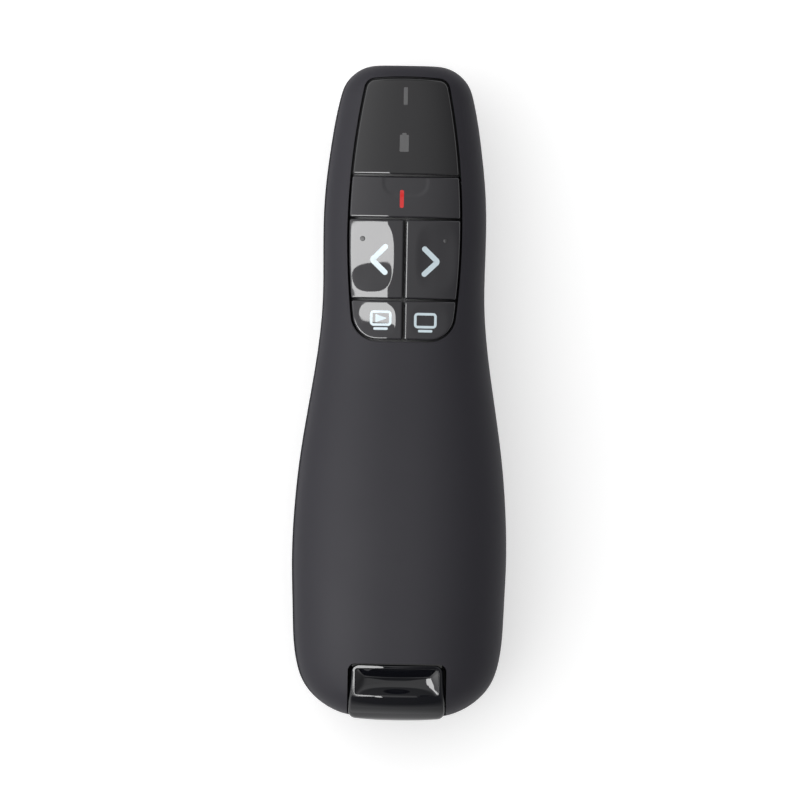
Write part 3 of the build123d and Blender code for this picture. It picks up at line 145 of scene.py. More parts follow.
def put(name, points, faces, looks, body, nodes=(), slot=None, smooth=35.0, kinds=None):
    """Makes a mesh piece of points in millimetres and faces, each a row of indices. Kinds says which
    of the looks, its materials, each face has."""
    mesh = bpy.data.meshes.new(name)
    mesh.from_pydata((np.asarray(points, float) * MM).tolist(), [], [list(f) for f in faces])
    for look in looks:
        mesh.materials.append(MATERIALS[look])
    if kinds is not None:
        mesh.polygons.foreach_set("material_index", np.asarray(kinds, np.int32))
    shade(mesh, smooth)
    mesh.validate()
    place(name, mesh, body, nodes)


def ring_faces(rings, count):
    """Quads between successive closed rings of the same count of points."""
    row, col = np.meshgrid(np.arange(rings - 1), np.arange(count), indexing="ij")
    a = row * count + col
    b = row * count + (col + 1) % count
    return np.stack([a, b, b + count, a + count], -1).reshape(-1, 4)


def pole_faces(pole, ring_first, count, outward):
    """Triangles between a pole and the ring round it."""
    here = ring_first + np.arange(count)
    there = ring_first + (np.arange(count) + 1) % count
    order = (here, there) if outward else (there, here)
    return np.stack([np.full(count, pole), *order], -1)


def closed_rings(rings):
    """Points and faces of a closed skin through a stack of rings, each with points running counter
    clockwise seen from the last ring's side; the first and last ring close on their middle points."""
    stack = np.asarray(rings, float)
    levels, count = stack.shape[:2]
    points = np.concatenate([stack.reshape(-1, 3), stack[0].mean(0)[None], stack[-1].mean(0)[None]])
    low, high = levels * count, levels * count + 1
    faces = [
        *ring_faces(levels, count).tolist(),
        *pole_faces(low, 0, count, False).tolist(),
        *pole_faces(high, (levels - 1) * count, count, True).tolist(),
    ]
    return points, faces


def joined(parts):
    """Several (points, faces) as one."""
    points, faces, start = [], [], 0
    for part_points, part_faces in parts:
        points.append(np.asarray(part_points, float))
        faces += [[start + i for i in face] for face in part_faces]
        start += len(part_points)
    return np.concatenate(points), faces


# ---- Outlines in plan ----
def unit(ways):
    """The directions at length 1."""
    return ways / np.linalg.norm(ways, axis=-1, keepdims=True)


def circle_through(a, b, c):
    """Centre and radius of the circle through three points, from the perpendicular bisectors."""
    a, b, c = (np.array(p, float) for p in (a, b, c))
    rows = 2 * np.array([b - a, c - a])
    centre = np.linalg.solve(rows, np.array([b @ b - a @ a, c @ c - a @ a]))
    return (*centre, np.linalg.norm(a - centre))


def depth_in(edge, p):
    """Distance of p inside an edge, and the direction inwards. An edge is a line (x, y, nx, ny) with
    its inward normal, or a convex arc (cx, cy, radius)."""
    if len(edge) == 4:
        normal = np.array(edge[2:])
        return (p - np.array(edge[:2])) @ normal, normal
    away = p - np.array(edge[:2])
    reach = np.linalg.norm(away)
    return edge[2] - reach, -away / reach


LEAST_R, NEWTON_STEPS = 0.02, 12
EDGE_POINTS = 28  # along each edge of an outline


def outline(edges, corners, inset=0.0, along=EDGE_POINTS, around=12):
    """Closed outline, counter clockwise, of a plan with these edges, drawn in by the inset. Corner k
    joins edge k to the next one: (rough x, rough y, radius). Its centre is the point that lies its
    radius inside both edges, found by Newton's steps, and its arc runs between the two tangent
    points."""
    arcs, runs = [], []
    for k, (x, y, radius) in enumerate(corners):
        a, b = edges[k], edges[(k + 1) % len(edges)]
        radius = max(radius - inset, LEAST_R)
        p = np.array([x, y], float)
        for _ in range(NEWTON_STEPS):
            (da, ga), (db, gb) = depth_in(a, p), depth_in(b, p)
            p = p - np.linalg.solve(np.array([ga, gb]), np.array([da, db]) - inset - radius)
        ga, gb = depth_in(a, p)[1], depth_in(b, p)[1]
        start, end = math.atan2(-ga[1], -ga[0]), math.atan2(-gb[1], -gb[0])
        turn = start + ((end - start) % (2 * math.pi)) * np.linspace(0, 1, around)
        arcs.append(p + radius * np.stack([np.cos(turn), np.sin(turn)], -1))
    for k, arc in enumerate(arcs):
        edge = edges[(k + 1) % len(edges)]
        share = np.linspace(0, 1, along + 2)[1:-1, None]
        run = arc[-1] + (arcs[(k + 1) % len(arcs)][0] - arc[-1]) * share
        if len(edge) == 3:
            away = run - np.array(edge[:2])
            run = np.array(edge[:2]) + unit(away) * (edge[2] - inset)
        runs.append(run)
    return np.concatenate([np.concatenate([arc, run]) for arc, run in zip(arcs, runs)])


RIGHT_ARC = circle_through((REAR_HALF, REAR_Y), (WIDE_HALF, WIDE_Y), (FRONT_HALF, FRONT_Y))
LEFT_ARC = (-RIGHT_ARC[0], *RIGHT_ARC[1:])
CROWN_ARC = circle_through((FRONT_HALF, FRONT_Y), (0, FRONT_Y + FRONT_CROWN), (-FRONT_HALF, FRONT_Y))


def level(y, inwards):
    """Straight edge across at y; inwards is 1 where the plan lies ahead of it and -1 behind."""
    return (0.0, y, 0.0, float(inwards))


def upright(x, inwards):
    """Straight edge along Y at x."""
    return (x, 0.0, float(inwards), 0.0)


def shrunk(edge, by):
    """The edge moved inwards."""
    if len(edge) == 3:
        return (edge[0], edge[1], edge[2] - by)
    return (edge[0] + edge[2] * by, edge[1] + edge[3] * by, edge[2], edge[3])


HALF_GAP = KEY_GAP / 2
SQUARE, REAR, FRONT = SLIT_CORNER_R, REAR_R - HALF_GAP, FRONT_R - HALF_GAP
# Each plan's edges on the middle of the slits, and its corners by their rough places.
PLANS = {
    "status_window": (
        [level(WINDOW_SPLIT_Y, 1), RIGHT_ARC, CROWN_ARC, LEFT_ARC],
        [(9, 39, SQUARE), (6, 53, FRONT), (-6, 53, FRONT), (-9, 39, SQUARE)],
    ),
    "laser": (
        [level(LASER_SPLIT_Y, 1), RIGHT_ARC, level(WINDOW_SPLIT_Y, -1), LEFT_ARC],
        [(9, 31, SQUARE), (9, 38, SQUARE), (-9, 38, SQUARE), (-9, 31, SQUARE)],
    ),
    "previous": (
        [level(ARROW_SPLIT_Y, 1), upright(0, -1), level(LASER_SPLIT_Y, -1), LEFT_ARC],
        [(-1, 17, SQUARE), (-1, 30, SQUARE), (-9, 30, SQUARE), (-9, 17, SQUARE)],
    ),
    "start_show": (
        [level(REAR_Y, 1), upright(0, -1), level(ARROW_SPLIT_Y, -1), LEFT_ARC],
        [(-1, 10, SQUARE), (-1, 16, SQUARE), (-8.5, 16, SQUARE), (-5, 13, REAR)],
    ),
}
PLANS = {
    name: ([shrunk(edge, HALF_GAP) for edge in edges], corners)
    for name, (edges, corners) in PLANS.items()
}
REAR, FRONT = REAR_R + HALF_GAP, FRONT_R + HALF_GAP
OPENING = (
    [shrunk(edge, -HALF_GAP) for edge in (level(REAR_Y, 1), RIGHT_ARC, CROWN_ARC, LEFT_ARC)],
    [(5, 13, REAR), (6, 53, FRONT), (-6, 53, FRONT), (-5, 13, REAR)],
)


# ---- Materials ----
def fill(tree, inputs, values):
    """Gives inputs, by name or place, their values; a socket is linked."""
    for key, value in values.items():
        if isinstance(value, bpy.types.NodeSocket):
            tree.links.new(value, inputs[key])
        else:
            inputs[key].default_value = value


def add(tree, kind, values=(), **settings):
    """A shader node of this kind with its settings and inputs."""
    made = tree.nodes.new("ShaderNode" + kind)
    for key, value in settings.items():
        setattr(made, key, value)
    fill(tree, made.inputs, dict(values))
    return made


def calc(tree, operation, *values, **settings):
    """The output of a Math node over these sockets and values."""
    settings["operation"] = operation
    return add(tree, "Math", dict(enumerate(values)), **settings).outputs[0]


def ramp(tree, value, ends, low, high):
    """Low to high as the value goes from one of the ends to the other."""
    values = {"From Min": ends[0], "From Max": ends[1], "To Min": low, "To Max": high}
    return add(tree, "MapRange", {"Value": value, **values}).outputs[0]


def noise(tree, spot, scale, detail=3.0, rough=0.5):
    """Noise at a spot."""
    values = {"Vector": spot, "Scale": scale, "Detail": detail, "Roughness": rough}
    return add(tree, "TexNoise", values).outputs["Fac"]


def group(name, inputs):
    """A node group with these inputs and the outputs of every effect, its input's and output's
    sockets, and object coordinates."""
    tree = bpy.data.node_groups.new(name, "ShaderNodeTree")
    socket = tree.interface.new_socket
    for label, value in {"Colour": (0, 0, 0, 1), **inputs}.items():
        kind = "NodeSocketColor" if label == "Colour" else "NodeSocketFloat"
        socket(label, in_out="INPUT", socket_type=kind).default_value = value
    for label, kind in (("Colour", "Color"), ("Roughness", "Float"), ("Height", "Float")):
        socket(label, in_out="OUTPUT", socket_type="NodeSocket" + kind)
    given, out = tree.nodes.new("NodeGroupInput").outputs, tree.nodes.new("NodeGroupOutput").inputs
    return tree, given, out, add(tree, "TexCoord").outputs["Object"]


def link_effect(tree, given, out, gain, rough, height):
    """Links a group's outputs: its colour times the gain, its roughness and its height."""
    values = {0: given["Colour"], "Scale": gain}
    tint = add(tree, "VectorMath", values, operation="SCALE").outputs[0]
    fill(tree, out, {"Colour": tint, "Roughness": rough, "Height": height})
    return tree


SLOW_SCALE, GRIT_SHARE = 90.0, 0.5


def moulded_grain():
    """Grain of a moulded or sprayed face: fine noise for its height and its roughness, and a slow
    drift of its colour, all on object coordinates."""
    tree, given, out, spot = group(
        "moulded_grain", {"Grain": 3000.0, "Drift": 0.1, "Roughness": 0.5, "Roughness drift": 0.1})
    fine = noise(tree, spot, given["Grain"], rough=0.6)
    swing = calc(tree, "SUBTRACT", noise(tree, spot, SLOW_SCALE, rough=0.55), 0.5)
    both = calc(tree, "MULTIPLY_ADD", calc(tree, "SUBTRACT", fine, 0.5), GRIT_SHARE, swing)
    gain = calc(tree, "MULTIPLY_ADD", both, given["Drift"], 1.0)
    drift, rough = given["Roughness drift"], given["Roughness"]
    rough = calc(tree, "MULTIPLY_ADD", both, drift, rough, use_clamp=True)
    return link_effect(tree, given, out, gain, rough, fine)


LINE_SQUEEZE, LINE_ROUGHNESS = 0.04, 0.16
BLOTCH_SCALE, BLOTCH_GAIN, BLOTCH_BASE = 260.0, 0.3, 0.85


def drawn_lines():
    """Fine parallel lines of a drawn or brushed metal along Y: noise squeezed along the other two
    axes, as a height and a shift of the roughness."""
    tree, given, out, spot = group("drawn_lines", {"Lines": 4000.0, "Roughness": 0.3})
    values = {"Vector": spot, "Scale": (1.0, LINE_SQUEEZE, 1.0)}
    squeezed = add(tree, "Mapping", values).outputs[0]
    lines = noise(tree, squeezed, given["Lines"], 2.0)
    rough = calc(tree, "MULTIPLY_ADD", lines, LINE_ROUGHNESS, given["Roughness"])
    gain = calc(tree, "MULTIPLY_ADD", noise(tree, spot, BLOTCH_SCALE), BLOTCH_GAIN, BLOTCH_BASE)
    return link_effect(tree, given, out, gain, rough, lines)


GRAIN, LINES = moulded_grain(), drawn_lines()
BUMP_DISTANCE, METAL_BUMP = 0.00005, 0.05


def finish(name, colour, effect, values, bump, sockets):
    """A material: its colour, roughness and relief come from the effect's group, and everything else
    is set on the shader's own sockets."""
    material = bpy.data.materials.new(name)
    material.use_nodes = True
    material.diffuse_color = (*colour, 1)
    tree = material.node_tree
    made = add(tree, "Group", {"Colour": (*colour, 1), **values}, node_tree=effect).outputs
    look = {"Base Color": made["Colour"], "Roughness": made["Roughness"], **sockets}
    if bump:
        values = {"Height": made["Height"], "Strength": bump, "Distance": BUMP_DISTANCE}
        look["Normal"] = add(tree, "Bump", values).outputs[0]
    fill(tree, tree.nodes["Principled BSDF"].inputs, look)
    return material


def moulded(name, colour, grain, drift, rough, rough_drift, bump, sockets=None):
    """A moulded, sprayed or printed material."""
    values = {"Grain": grain, "Drift": drift, "Roughness": rough, "Roughness drift": rough_drift}
    return finish(name, colour, GRAIN, values, bump, sockets or {})


def metal(name, colour, lines, rough):
    """A drawn metal."""
    values = {"Lines": lines, "Roughness": rough}
    return finish(name, colour, LINES, values, METAL_BUMP, {"Metallic": 1.0})


# Colour, grain's scale, colour's drift, roughness, its drift, relief, and what else is set.
MOULDED = {
    "gloss_black": ((0.0185, 0.0178, 0.0215), 700, 0.2, 0.035, 0.03, 0),
    "cap_black": ((0.0045, 0.0048, 0.0070), 700, 0.2, 0.035, 0.03, 0),
    "smoked_window": ((0.006, 0.0058, 0.0072), 500, 0.2, 0.03, 0.02, 0),
    "inner_plastic": ((0.016, 0.016, 0.018), 3400, 0.15, 0.5, 0.12, 0.15),
    "slider_plastic": ((0.03, 0.03, 0.033), 4200, 0.12, 0.45, 0.1, 0.2),
    "switch_plastic": ((0.02, 0.02, 0.02), 3000, 0.15, 0.4, 0.1, 0.1),
    # Near-black for the painted shade in the seam between the housings.
    "seam_shadow": ((0.004, 0.004, 0.0045), 4000, 0.1, 0.8, 0.1, 0),
    "chip_epoxy": ((0.015, 0.015, 0.016), 5000, 0.2, 0.55, 0.15, 0.25),
    "circuit_board": ((0.012, 0.09, 0.04), 1400, 0.5, 0.3, 0.2, 0.12),
    "capacitor_ceramic": ((0.36, 0.24, 0.13), 5000, 0.2, 0.4, 0.1, 0.1),
    "white_insulator": ((0.72, 0.72, 0.70), 2500, 0.05, 0.4, 0.1, 0.05),
    "indicator_lamp": ((0.8, 0.74, 0.45), 3000, 0.1, 0.2, 0.1, 0.05),
    "cell_jacket": ((0.02, 0.05, 0.16), 900, 0.12, 0.22, 0.06, 0.02),
    "print_white": ((0.60, 0.71, 0.76), 2600, 0.05, 0.35, 0.1, 0.02),
    "print_grey": ((0.072, 0.072, 0.074), 2600, 0.06, 0.3, 0.1, 0.02),
    "soft_touch_shell": ((0.0205, 0.0195, 0.0252), 5200, 0.10, 0.66, 0.08, 0.12,
                         {"Specular IOR Level": 0.16}),
    "print_red": ((0.60, 0.010, 0.010), 2600, 0.06, 0.4, 0.1, 0.02, {"Specular IOR Level": 0.25}),
    "clear_acrylic": ((0.9, 0.92, 0.93), 600, 0.03, 0.06, 0.04, 0,
                      {"Transmission Weight": 0.9, "IOR": 1.49}),
    "lens_glass": ((0.30, 0.05, 0.07), 500, 0.1, 0.03, 0.02, 0,
                   {"Transmission Weight": 0.6, "IOR": 1.52}),
}
# Colour, the lines' scale, and roughness.
METALS = {
    "plated_steel": ((0.62, 0.62, 0.60), 4200, 0.2),
    "turned_brass": ((0.72, 0.52, 0.24), 5000, 0.2),
    "gold_plating": ((0.88, 0.66, 0.28), 3000, 0.12),
    "screw_steel": ((0.20, 0.20, 0.21), 5200, 0.3),
}
MATERIALS = {name: moulded(name, *look) for name, look in MOULDED.items()}
MATERIALS |= {name: metal(name, *look) for name, look in METALS.items()}

BODIES = frame["record"]["behaviour"]["bodies"]
BODY_OF = {node: body for body, nodes in BODIES.items() for node in nodes}
SLOT_OF = {part["node"]: part["material_slot"] for part in frame["record"]["subparts"]}
for node, slot in SLOT_OF.items():
    NODES[node].data.materials.clear()
    NODES[node].data.materials.append(MATERIALS[slot])


# ---- Solids that keep their shape, shaded smooth ----
FORM_STEP, LEAST_HALF, LEAST_SLOPE = 0.02, 0.1, 1e-9
# What lies on the form: its distance, and the cosine between the face's normal and the form's.
ON_FORM, SAME_WAY = 0.3, 0.975
MERGE_DISTANCE = 1e-8  # metres


def form_level(x, y, z):
    """The body's outer form as |x/half|^p + |(z - parting)/height|^p - 1: zero on its skin."""
    half, crest, belly = section_size(y)
    above = z >= PARTING_Z
    height = np.where(above, crest - PARTING_Z, PARTING_Z - belly)
    power = np.where(above, UPPER_POWER, LOWER_POWER)
    half, height = np.maximum(half, LEAST_HALF), np.maximum(height, LEAST_HALF)
    return np.abs(x / half) ** power + np.abs((z - PARTING_Z) / height) ** power - 1


def form_normals(points):
    """Outward normals of the outer form at points, from its slopes over small steps, and the points'
    distances from its skin."""
    slopes = []
    for step in np.eye(3) * FORM_STEP:
        rise = form_level(*(points + step).T) - form_level(*(points - step).T)
        slopes.append(rise / (2 * FORM_STEP))
    slopes = np.stack(slopes, -1)
    steep = np.maximum(np.linalg.norm(slopes, axis=1), LEAST_SLOPE)
    return slopes / steep[:, None], form_level(*points.T) / steep


def read(items, field, width=3, kind=np.float32):
    """A field of a mesh's items, in rows of this width."""
    values = np.empty(len(items) * width, kind)
    items.foreach_get(field, values)
    return values.reshape(-1, width)


def finished(node, smooth=30.0, form=False):
    """A copy of a solid with its loose triangles merged and smooth shading up to an angle. Where a
    face lies on the body's outer form, its corners take the form's own normals."""
    mesh = NODES[node].data.copy()
    mesh.name = node + "_finished"
    loose = bmesh.new()
    loose.from_mesh(mesh)
    bmesh.ops.remove_doubles(loose, verts=loose.verts, dist=MERGE_DISTANCE)
    loose.to_mesh(mesh)
    loose.free()
    shade(mesh, smooth)
    if form:
        normals = read(mesh.corner_normals, "vector")
        ideal, off = form_normals(read(mesh.vertices, "co").astype(float) / MM)
        at = read(mesh.loops, "vertex_index", 1, np.int32)[:, 0]
        flat = np.repeat(read(mesh.polygons, "normal"), 3, axis=0)
        skin = (np.abs(off[at]) < ON_FORM) & ((ideal[at] * flat).sum(-1) > SAME_WAY)
        normals[skin] = ideal[at][skin]
        mesh.normals_split_custom_set(normals.tolist())
    place(mesh.name, mesh, BODY_OF[node], [node])


for shell in ("top_housing", "bottom_housing", "battery_door"):
    finished(shell, 24.0, form=True)
for turned in (
    "aperture_ring", "aperture_window", "laser_barrel", "laser_lens", "laser_diode", "usb_plug_shell",
    "contact_positive", "contact_negative", "contact_bridge", "power_slider", "receiver_lid",
    "housing_screws", "key_guide_frame",
):
    finished(turned)


# ---- Keys and status window ----
# Finger hollows: middle, depth, half width, half length. Tilts: rise to the nose over the length, and
# the Y it turns about. The laser key's tab: its half width, rear end, depth, soft edge and corners.
HOLLOWS = {"previous": (-5.7, 24.0, 0.42, 3.9, 6.3), "start_show": (-4.6, 12.7, 0.20, 3.4, 3.2)}
TILTS = {"previous": (0.016, 23.5), "start_show": (0.006, 13.0), "laser": (-0.012, 34.5)}
TAB_HALF, TAB_REAR_Y, TAB_DEPTH, TAB_EDGE, TAB_R = 4.3, 34.4, 0.13, 0.8, 2.6
TWINS = {"previous": "next", "start_show": "blank_screen"}
POSTS = {"laser": (0.0, 34.4), "previous": (-4.9, 23.4), "start_show": (-4.3, 13.0)}
POST_R, POST_SIDES = 1.1, 32
# Points along each edge of a key's outline, and rings under its plate, over its rounded edge and
# across its face, which a power above 1 crowds towards the rim.
RIM_POINTS = {"laser": 100, "previous": 40}
PLATE_RINGS, PLATE_MIDDLE, EDGE_RINGS, FACE_RINGS, FACE_POWER = 10, 0.04, 7, 46, 1.15
KEY_SMOOTH = 50.0


def face_z(name, x, y):
    """Height of a key's face: the body's form raised by the keys' pride and a slight tilt, less its
    hollow, depth (1 - |x/half width|^3 - |y/half length|^3)^2. The laser key has a shallow tab instead,
    open to the window, whose edge is an S-curve over the distance inside a round-cornered outline."""
    top = body_z(x, y) + KEY_PROUD
    if name in TILTS:
        slope, about = TILTS[name]
        top = top + slope * (y - about)
    if name in HOLLOWS:
        mid_x, mid_y, depth, half_width, half_length = HOLLOWS[name]
        near = np.abs((x - mid_x) / half_width) ** 3 + np.abs((y - mid_y) / half_length) ** 3
        top = top - depth * np.clip(1 - near, 0, 1) ** 2
    if name == "laser":
        over_x, over_y = np.abs(x) - (TAB_HALF - TAB_R), (TAB_REAR_Y + TAB_R) - y
        out = np.hypot(np.maximum(over_x, 0), np.maximum(over_y, 0))
        out = out + np.minimum(np.maximum(over_x, over_y), 0)
        share = np.clip((TAB_R - out) / TAB_EDGE, 0, 1)
        top = top - TAB_DEPTH * share**2 * (3 - 2 * share)
    return top


def lifted(plan, z):
    """Plan points with their heights."""
    return np.concatenate([plan, np.broadcast_to(z, plan.shape[:1])[:, None]], -1)


def on_form(plan, rise):
    """The plan on the body's upper face, raised by this much."""
    return lifted(plan, body_z(*plan.T) + rise)


def on_face(name, plan, rise=0.0):
    """The plan on a key's face, raised by this much."""
    return lifted(plan, face_z(name, *plan.T) + rise)


def towards(plan, share):
    """The outline shrunk towards its middle."""
    middle = plan.mean(0)
    return middle + (plan - middle) * share


def cap_rings(name, skirt_z):
    """Rings of a key from the middle of its underside to the middle of its face: under the plate, down
    and round the skirt, out under the ledge, up the wall, over the rounded edge and across the face."""

    def at(inset):
        """The outline at this inset."""
        return outline(*PLANS[name], inset, RIM_POINTS.get(name, EDGE_POINTS))

    inner, outer = at(KEY_LEDGE + KEY_SKIRT_WALL), at(KEY_LEDGE)
    under = KEY_PROUD - KEY_PLATE
    shares = np.linspace(PLATE_MIDDLE, 1, PLATE_RINGS)
    rings = [on_form(towards(inner, share), under) for share in shares]
    rings += [lifted(inner, skirt_z), lifted(outer, skirt_z)]
    rings += [on_form(outer, under), on_form(at(0.0), under)]
    for turn in np.linspace(0, math.pi / 2, EDGE_RINGS):
        plan = at(KEY_EDGE_R * (1 - math.cos(turn)))
        rings.append(on_face(name, plan, -KEY_EDGE_R * (1 - math.sin(turn))))
    rim = at(KEY_EDGE_R)
    for share in 1 - np.linspace(0, 1, FACE_RINGS)[1:-1] ** FACE_POWER:
        rings.append(on_face(name, towards(rim, share)))
    return closed_rings(rings)


def circle(sides):
    """Points round a circle of radius 1."""
    turn = np.linspace(0, 2 * math.pi, sides, endpoint=False)
    return np.stack([np.cos(turn), np.sin(turn)], -1)


def post_rings(name):
    """Round post from a switch's plunger up into the plate."""
    rim = circle(POST_SIDES) * POST_R + POSTS[name]
    return closed_rings([lifted(rim, SWITCH_TOP_Z), on_form(rim, KEY_PROUD - KEY_PLATE / 2)])


def closed_loop(rings):
    """Points and faces of a closed tube: the last ring joins the first, and each ring is closed."""
    stack = np.asarray(rings, float)
    levels, count = stack.shape[:2]
    return stack.reshape(-1, 3), (ring_faces(levels + 1, count) % (levels * count)).tolist()


def strip(plan, section):
    """Closed strip round a plan on the body's upper face, with a section of (distance inside the plan,
    height over the face)."""
    return closed_loop([on_form(outline(*plan, inset), rise) for inset, rise in section])


def mirrored(points, faces):
    """The same skin on the other side of the middle plane, its faces turned back outwards."""
    return points * (-1, 1, 1), [face[::-1] for face in faces]


def put_key(key, skin):
    """A key's cap, which stands for its button."""
    put(f"{key}_key_cap", *skin, ["gloss_black"], f"{key}_key", [f"{key}_button"], "gloss_black",
        KEY_SMOOTH)


for side_key in ("laser", "previous", "start_show"):
    skin = joined([cap_rings(side_key, KEY_SKIRT_Z), post_rings(side_key)])
    put_key(side_key, skin)
    if side_key in TWINS:
        put_key(TWINS[side_key], mirrored(*skin))

# Dark gasket under the window's edge, which closes the slit round it from below.
GASKET = ((0.7, -1.22), (0.7, -1.65), (-0.32, -1.65), (-0.32, -1.22))
put("status_window_lens", *cap_rings("status_window", WINDOW_SKIRT_Z), ["smoked_window"],
    "housing", ["status_window"], "smoked_window", KEY_SMOOTH)
put("window_gasket", *strip(PLANS["status_window"], GASKET), ["inner_plastic"], "housing",
    slot="inner_plastic")


# ---- Housing's lip round the keypad, and painted shade in the seam between the housings ----
LIP = ((-0.40, -0.03), (-0.30, 0.006), (-0.20, 0.012), (-0.10, -0.002), (-0.03, -0.04),
       (0.01, -0.11), (0.015, -0.5), (-0.30, -0.5))
put("keypad_opening_lip", *strip(OPENING, LIP), ["soft_touch_shell"], "housing",
    slot="soft_touch_shell", smooth=50.0)

SEAM_HALF, SEAM_PROUD, SEAM_SINK = 0.09, 0.012, 0.25
# Skin on the parting plane: its distance from the form's side, and from the plane.
SEAM_REACH, ON_PLANE = 0.4, 0.01
SEAM_SIDE_POINTS, SEAM_NOSE_POINTS, SEAM_TAIL_POINTS = 200, 8, 24
SEAM_OPEN_X = 3.5  # half of the gap that the laser's ring takes in the seam at the nose


def skin_half(y):
    """Half width at y of the housing's skin on the parting plane, between its solid's points there."""
    points = read(NODES["bottom_housing"].data.vertices, "co").astype(float) / MM
    off = points[:, 0] - section_size(points[:, 1])[0]
    edge = points[(np.abs(points[:, 2] - PARTING_Z) < ON_PLANE) & (np.abs(off) < SEAM_REACH)]
    edge = edge[np.argsort(edge[:, 1])]
    return np.interp(y, edge[:, 1], edge[:, 0])


def seam_shade_strip():
    """Painted shade of the joint between the housings: a thin near-black strip round the body at its
    widest line, standing for the shade in the groove, from one side of the laser's ring to the other,
    with its ends closed."""
    turn = np.linspace(0, math.pi, SEAM_SIDE_POINTS)
    y = (NOSE_Y + TAIL_Y) / 2 + (NOSE_Y - TAIL_Y) / 2 * np.cos(turn)
    half = skin_half(y)
    nose = np.linspace(SEAM_OPEN_X, half[0], SEAM_NOSE_POINTS)[:-1]
    right = np.concatenate([lifted(nose[:, None], NOSE_Y), np.stack([half, y], -1)])
    tail = np.linspace(half[-1], -half[-1], SEAM_TAIL_POINTS)[1:-1]
    path = np.concatenate([right, lifted(tail[:, None], TAIL_Y), right[::-1] * (-1, 1)])
    step = np.gradient(path, axis=0)
    away = unit(np.stack([-step[:, 1], step[:, 0]], -1))
    section = ((SEAM_PROUD, 1), (-SEAM_SINK, 1), (-SEAM_SINK, -1), (SEAM_PROUD, -1))
    rings = [lifted(path + away * out, PARTING_Z + side * SEAM_HALF) for out, side in section]
    return closed_rings(np.stack(rings, 1))


# The seam's strip is painted shade: a dark sheet over the line where the groove between the housings
# lies in shade.
put("housing_seam_shade", *seam_shade_strip(), ["seam_shadow"], "housing", slot="inner_plastic", smooth=20.0)


# ---- Printed marks ----
PRINT_LIFT, PRINT_SINK = 0.012, 0.03
BEND_POINTS, LEAST_STEPS = 9, 12  # of a path, in each bend and in all
CAP_POINTS, WIDTH_POINTS = 8, 6  # of a line, round half of its end and across
PATCH_STEP, PATCH_MIDDLE, PATCH_RINGS = 0.08, 0.1, 6
PIP_RISE, PIP_SIDES, PIP_MIDDLE, PIP_RINGS = 0.09, 28, 0.3, 8


def rounded_path(points, radius, closed=False, step=0.12):
    """The path through corner points at even steps, with each corner turned by an arc of this
    radius."""
    points = np.asarray(points, float)
    count = len(points)
    run = []
    for k in range(count):
        here = points[k]
        if not closed and k in (0, count - 1):
            run.append(here[None])
            continue
        a, b = unit(points[k - 1] - here), unit(points[(k + 1) % count] - here)
        half = math.acos(np.clip(a @ b, -1, 1)) / 2
        centre = here + unit(a + b) * radius / math.sin(half)
        start, end = (here + side * radius / math.tan(half) - centre for side in (a, b))
        first = math.atan2(start[1], start[0])
        swing = (math.atan2(end[1], end[0]) - first + math.pi) % (2 * math.pi) - math.pi
        turn = first + swing * np.linspace(0, 1, BEND_POINTS)
        run.append(centre + radius * np.stack([np.cos(turn), np.sin(turn)], -1))
    run = np.concatenate(run + ([run[0][:1]] if closed else []))
    length = np.concatenate([[0], np.cumsum(np.linalg.norm(np.diff(run, axis=0), axis=1))])
    stops = np.linspace(0, length[-1], max(int(length[-1] / step), LEAST_STEPS) + 1)
    even = np.stack([np.interp(stops, length, run[:, k]) for k in range(2)], -1)
    return even[:-1] if closed else even


def stroke(name, path, width, closed=False):
    """A printed line along a path: at each point a thin flat section across it that follows the key's
    face, narrowed to a half circle at an open line's ends."""
    half = np.full(len(path), width / 2)
    if closed:
        along = np.roll(path, -1, 0) - np.roll(path, 1, 0)
    else:
        turn = np.linspace(math.pi / 2, 0, CAP_POINTS)[1:-1]
        cap, reach = np.cos(turn), (np.sin(turn) * width / 2)[:, None]
        first, last = unit(path[0] - path[1]), unit(path[-1] - path[-2])
        path = np.concatenate([path[0] + first * reach, path, (path[-1] + last * reach)[::-1]])
        half = np.concatenate([cap * width / 2, half, cap[::-1] * width / 2])
        along = np.gradient(path, axis=0)
    along = unit(along)
    left = np.stack([-along[:, 1], along[:, 0]], -1) * half[:, None]
    across = np.linspace(1, -1, WIDTH_POINTS)
    top = path[:, None] + left[:, None] * across[None, :, None]
    sides = []
    for plan, rise in ((top, PRINT_LIFT), (top[:, ::-1], -PRINT_SINK)):
        z = face_z(name, plan[..., 0], plan[..., 1]) + rise
        sides.append(np.concatenate([plan, z[..., None]], -1))
    rings = np.concatenate(sides, 1)
    return closed_loop(rings) if closed else closed_rings(rings)


def patch(name, corners, radius):
    """A printed solid shape: its rounded outline shrunk towards its middle, on both sides."""
    rim = rounded_path(corners, radius, closed=True, step=PATCH_STEP)
    shares = np.linspace(PATCH_MIDDLE, 1, PATCH_RINGS)
    rings = [on_face(name, towards(rim, share), -PRINT_SINK) for share in shares]
    rings += [on_face(name, towards(rim, share), PRINT_LIFT) for share in shares[::-1]]
    return closed_rings(rings)


def box_corners(left, right, low, high):
    """Corners of an upright rectangle, counter clockwise."""
    return [(left, low), (right, low), (right, high), (left, high)]


def pip(name, x, y, radius):
    """A small domed dot: circles that draw in as they rise, on the key's face."""
    rim = circle(PIP_SIDES) * radius
    rings = [on_face(name, rim * share + (x, y), -PRINT_SINK) for share in (PIP_MIDDLE, 1.0)]
    for lean in np.linspace(0, math.pi / 2, PIP_RINGS)[:-1]:
        rings.append(on_face(name, rim * math.cos(lean) + (x, y), PIP_RISE * math.sin(lean)))
    return closed_rings(rings)


ARROW_R, ARROW_WIDTH = 0.3, 0.94


def arrow(name, open_x, high, tip_x, tip_y, low):
    """An arrow head: a bent line from its upper end over its tip to its lower end."""
    path = rounded_path([(open_x, high), (tip_x, tip_y), (open_x, low)], ARROW_R)
    return stroke(name, path, ARROW_WIDTH)


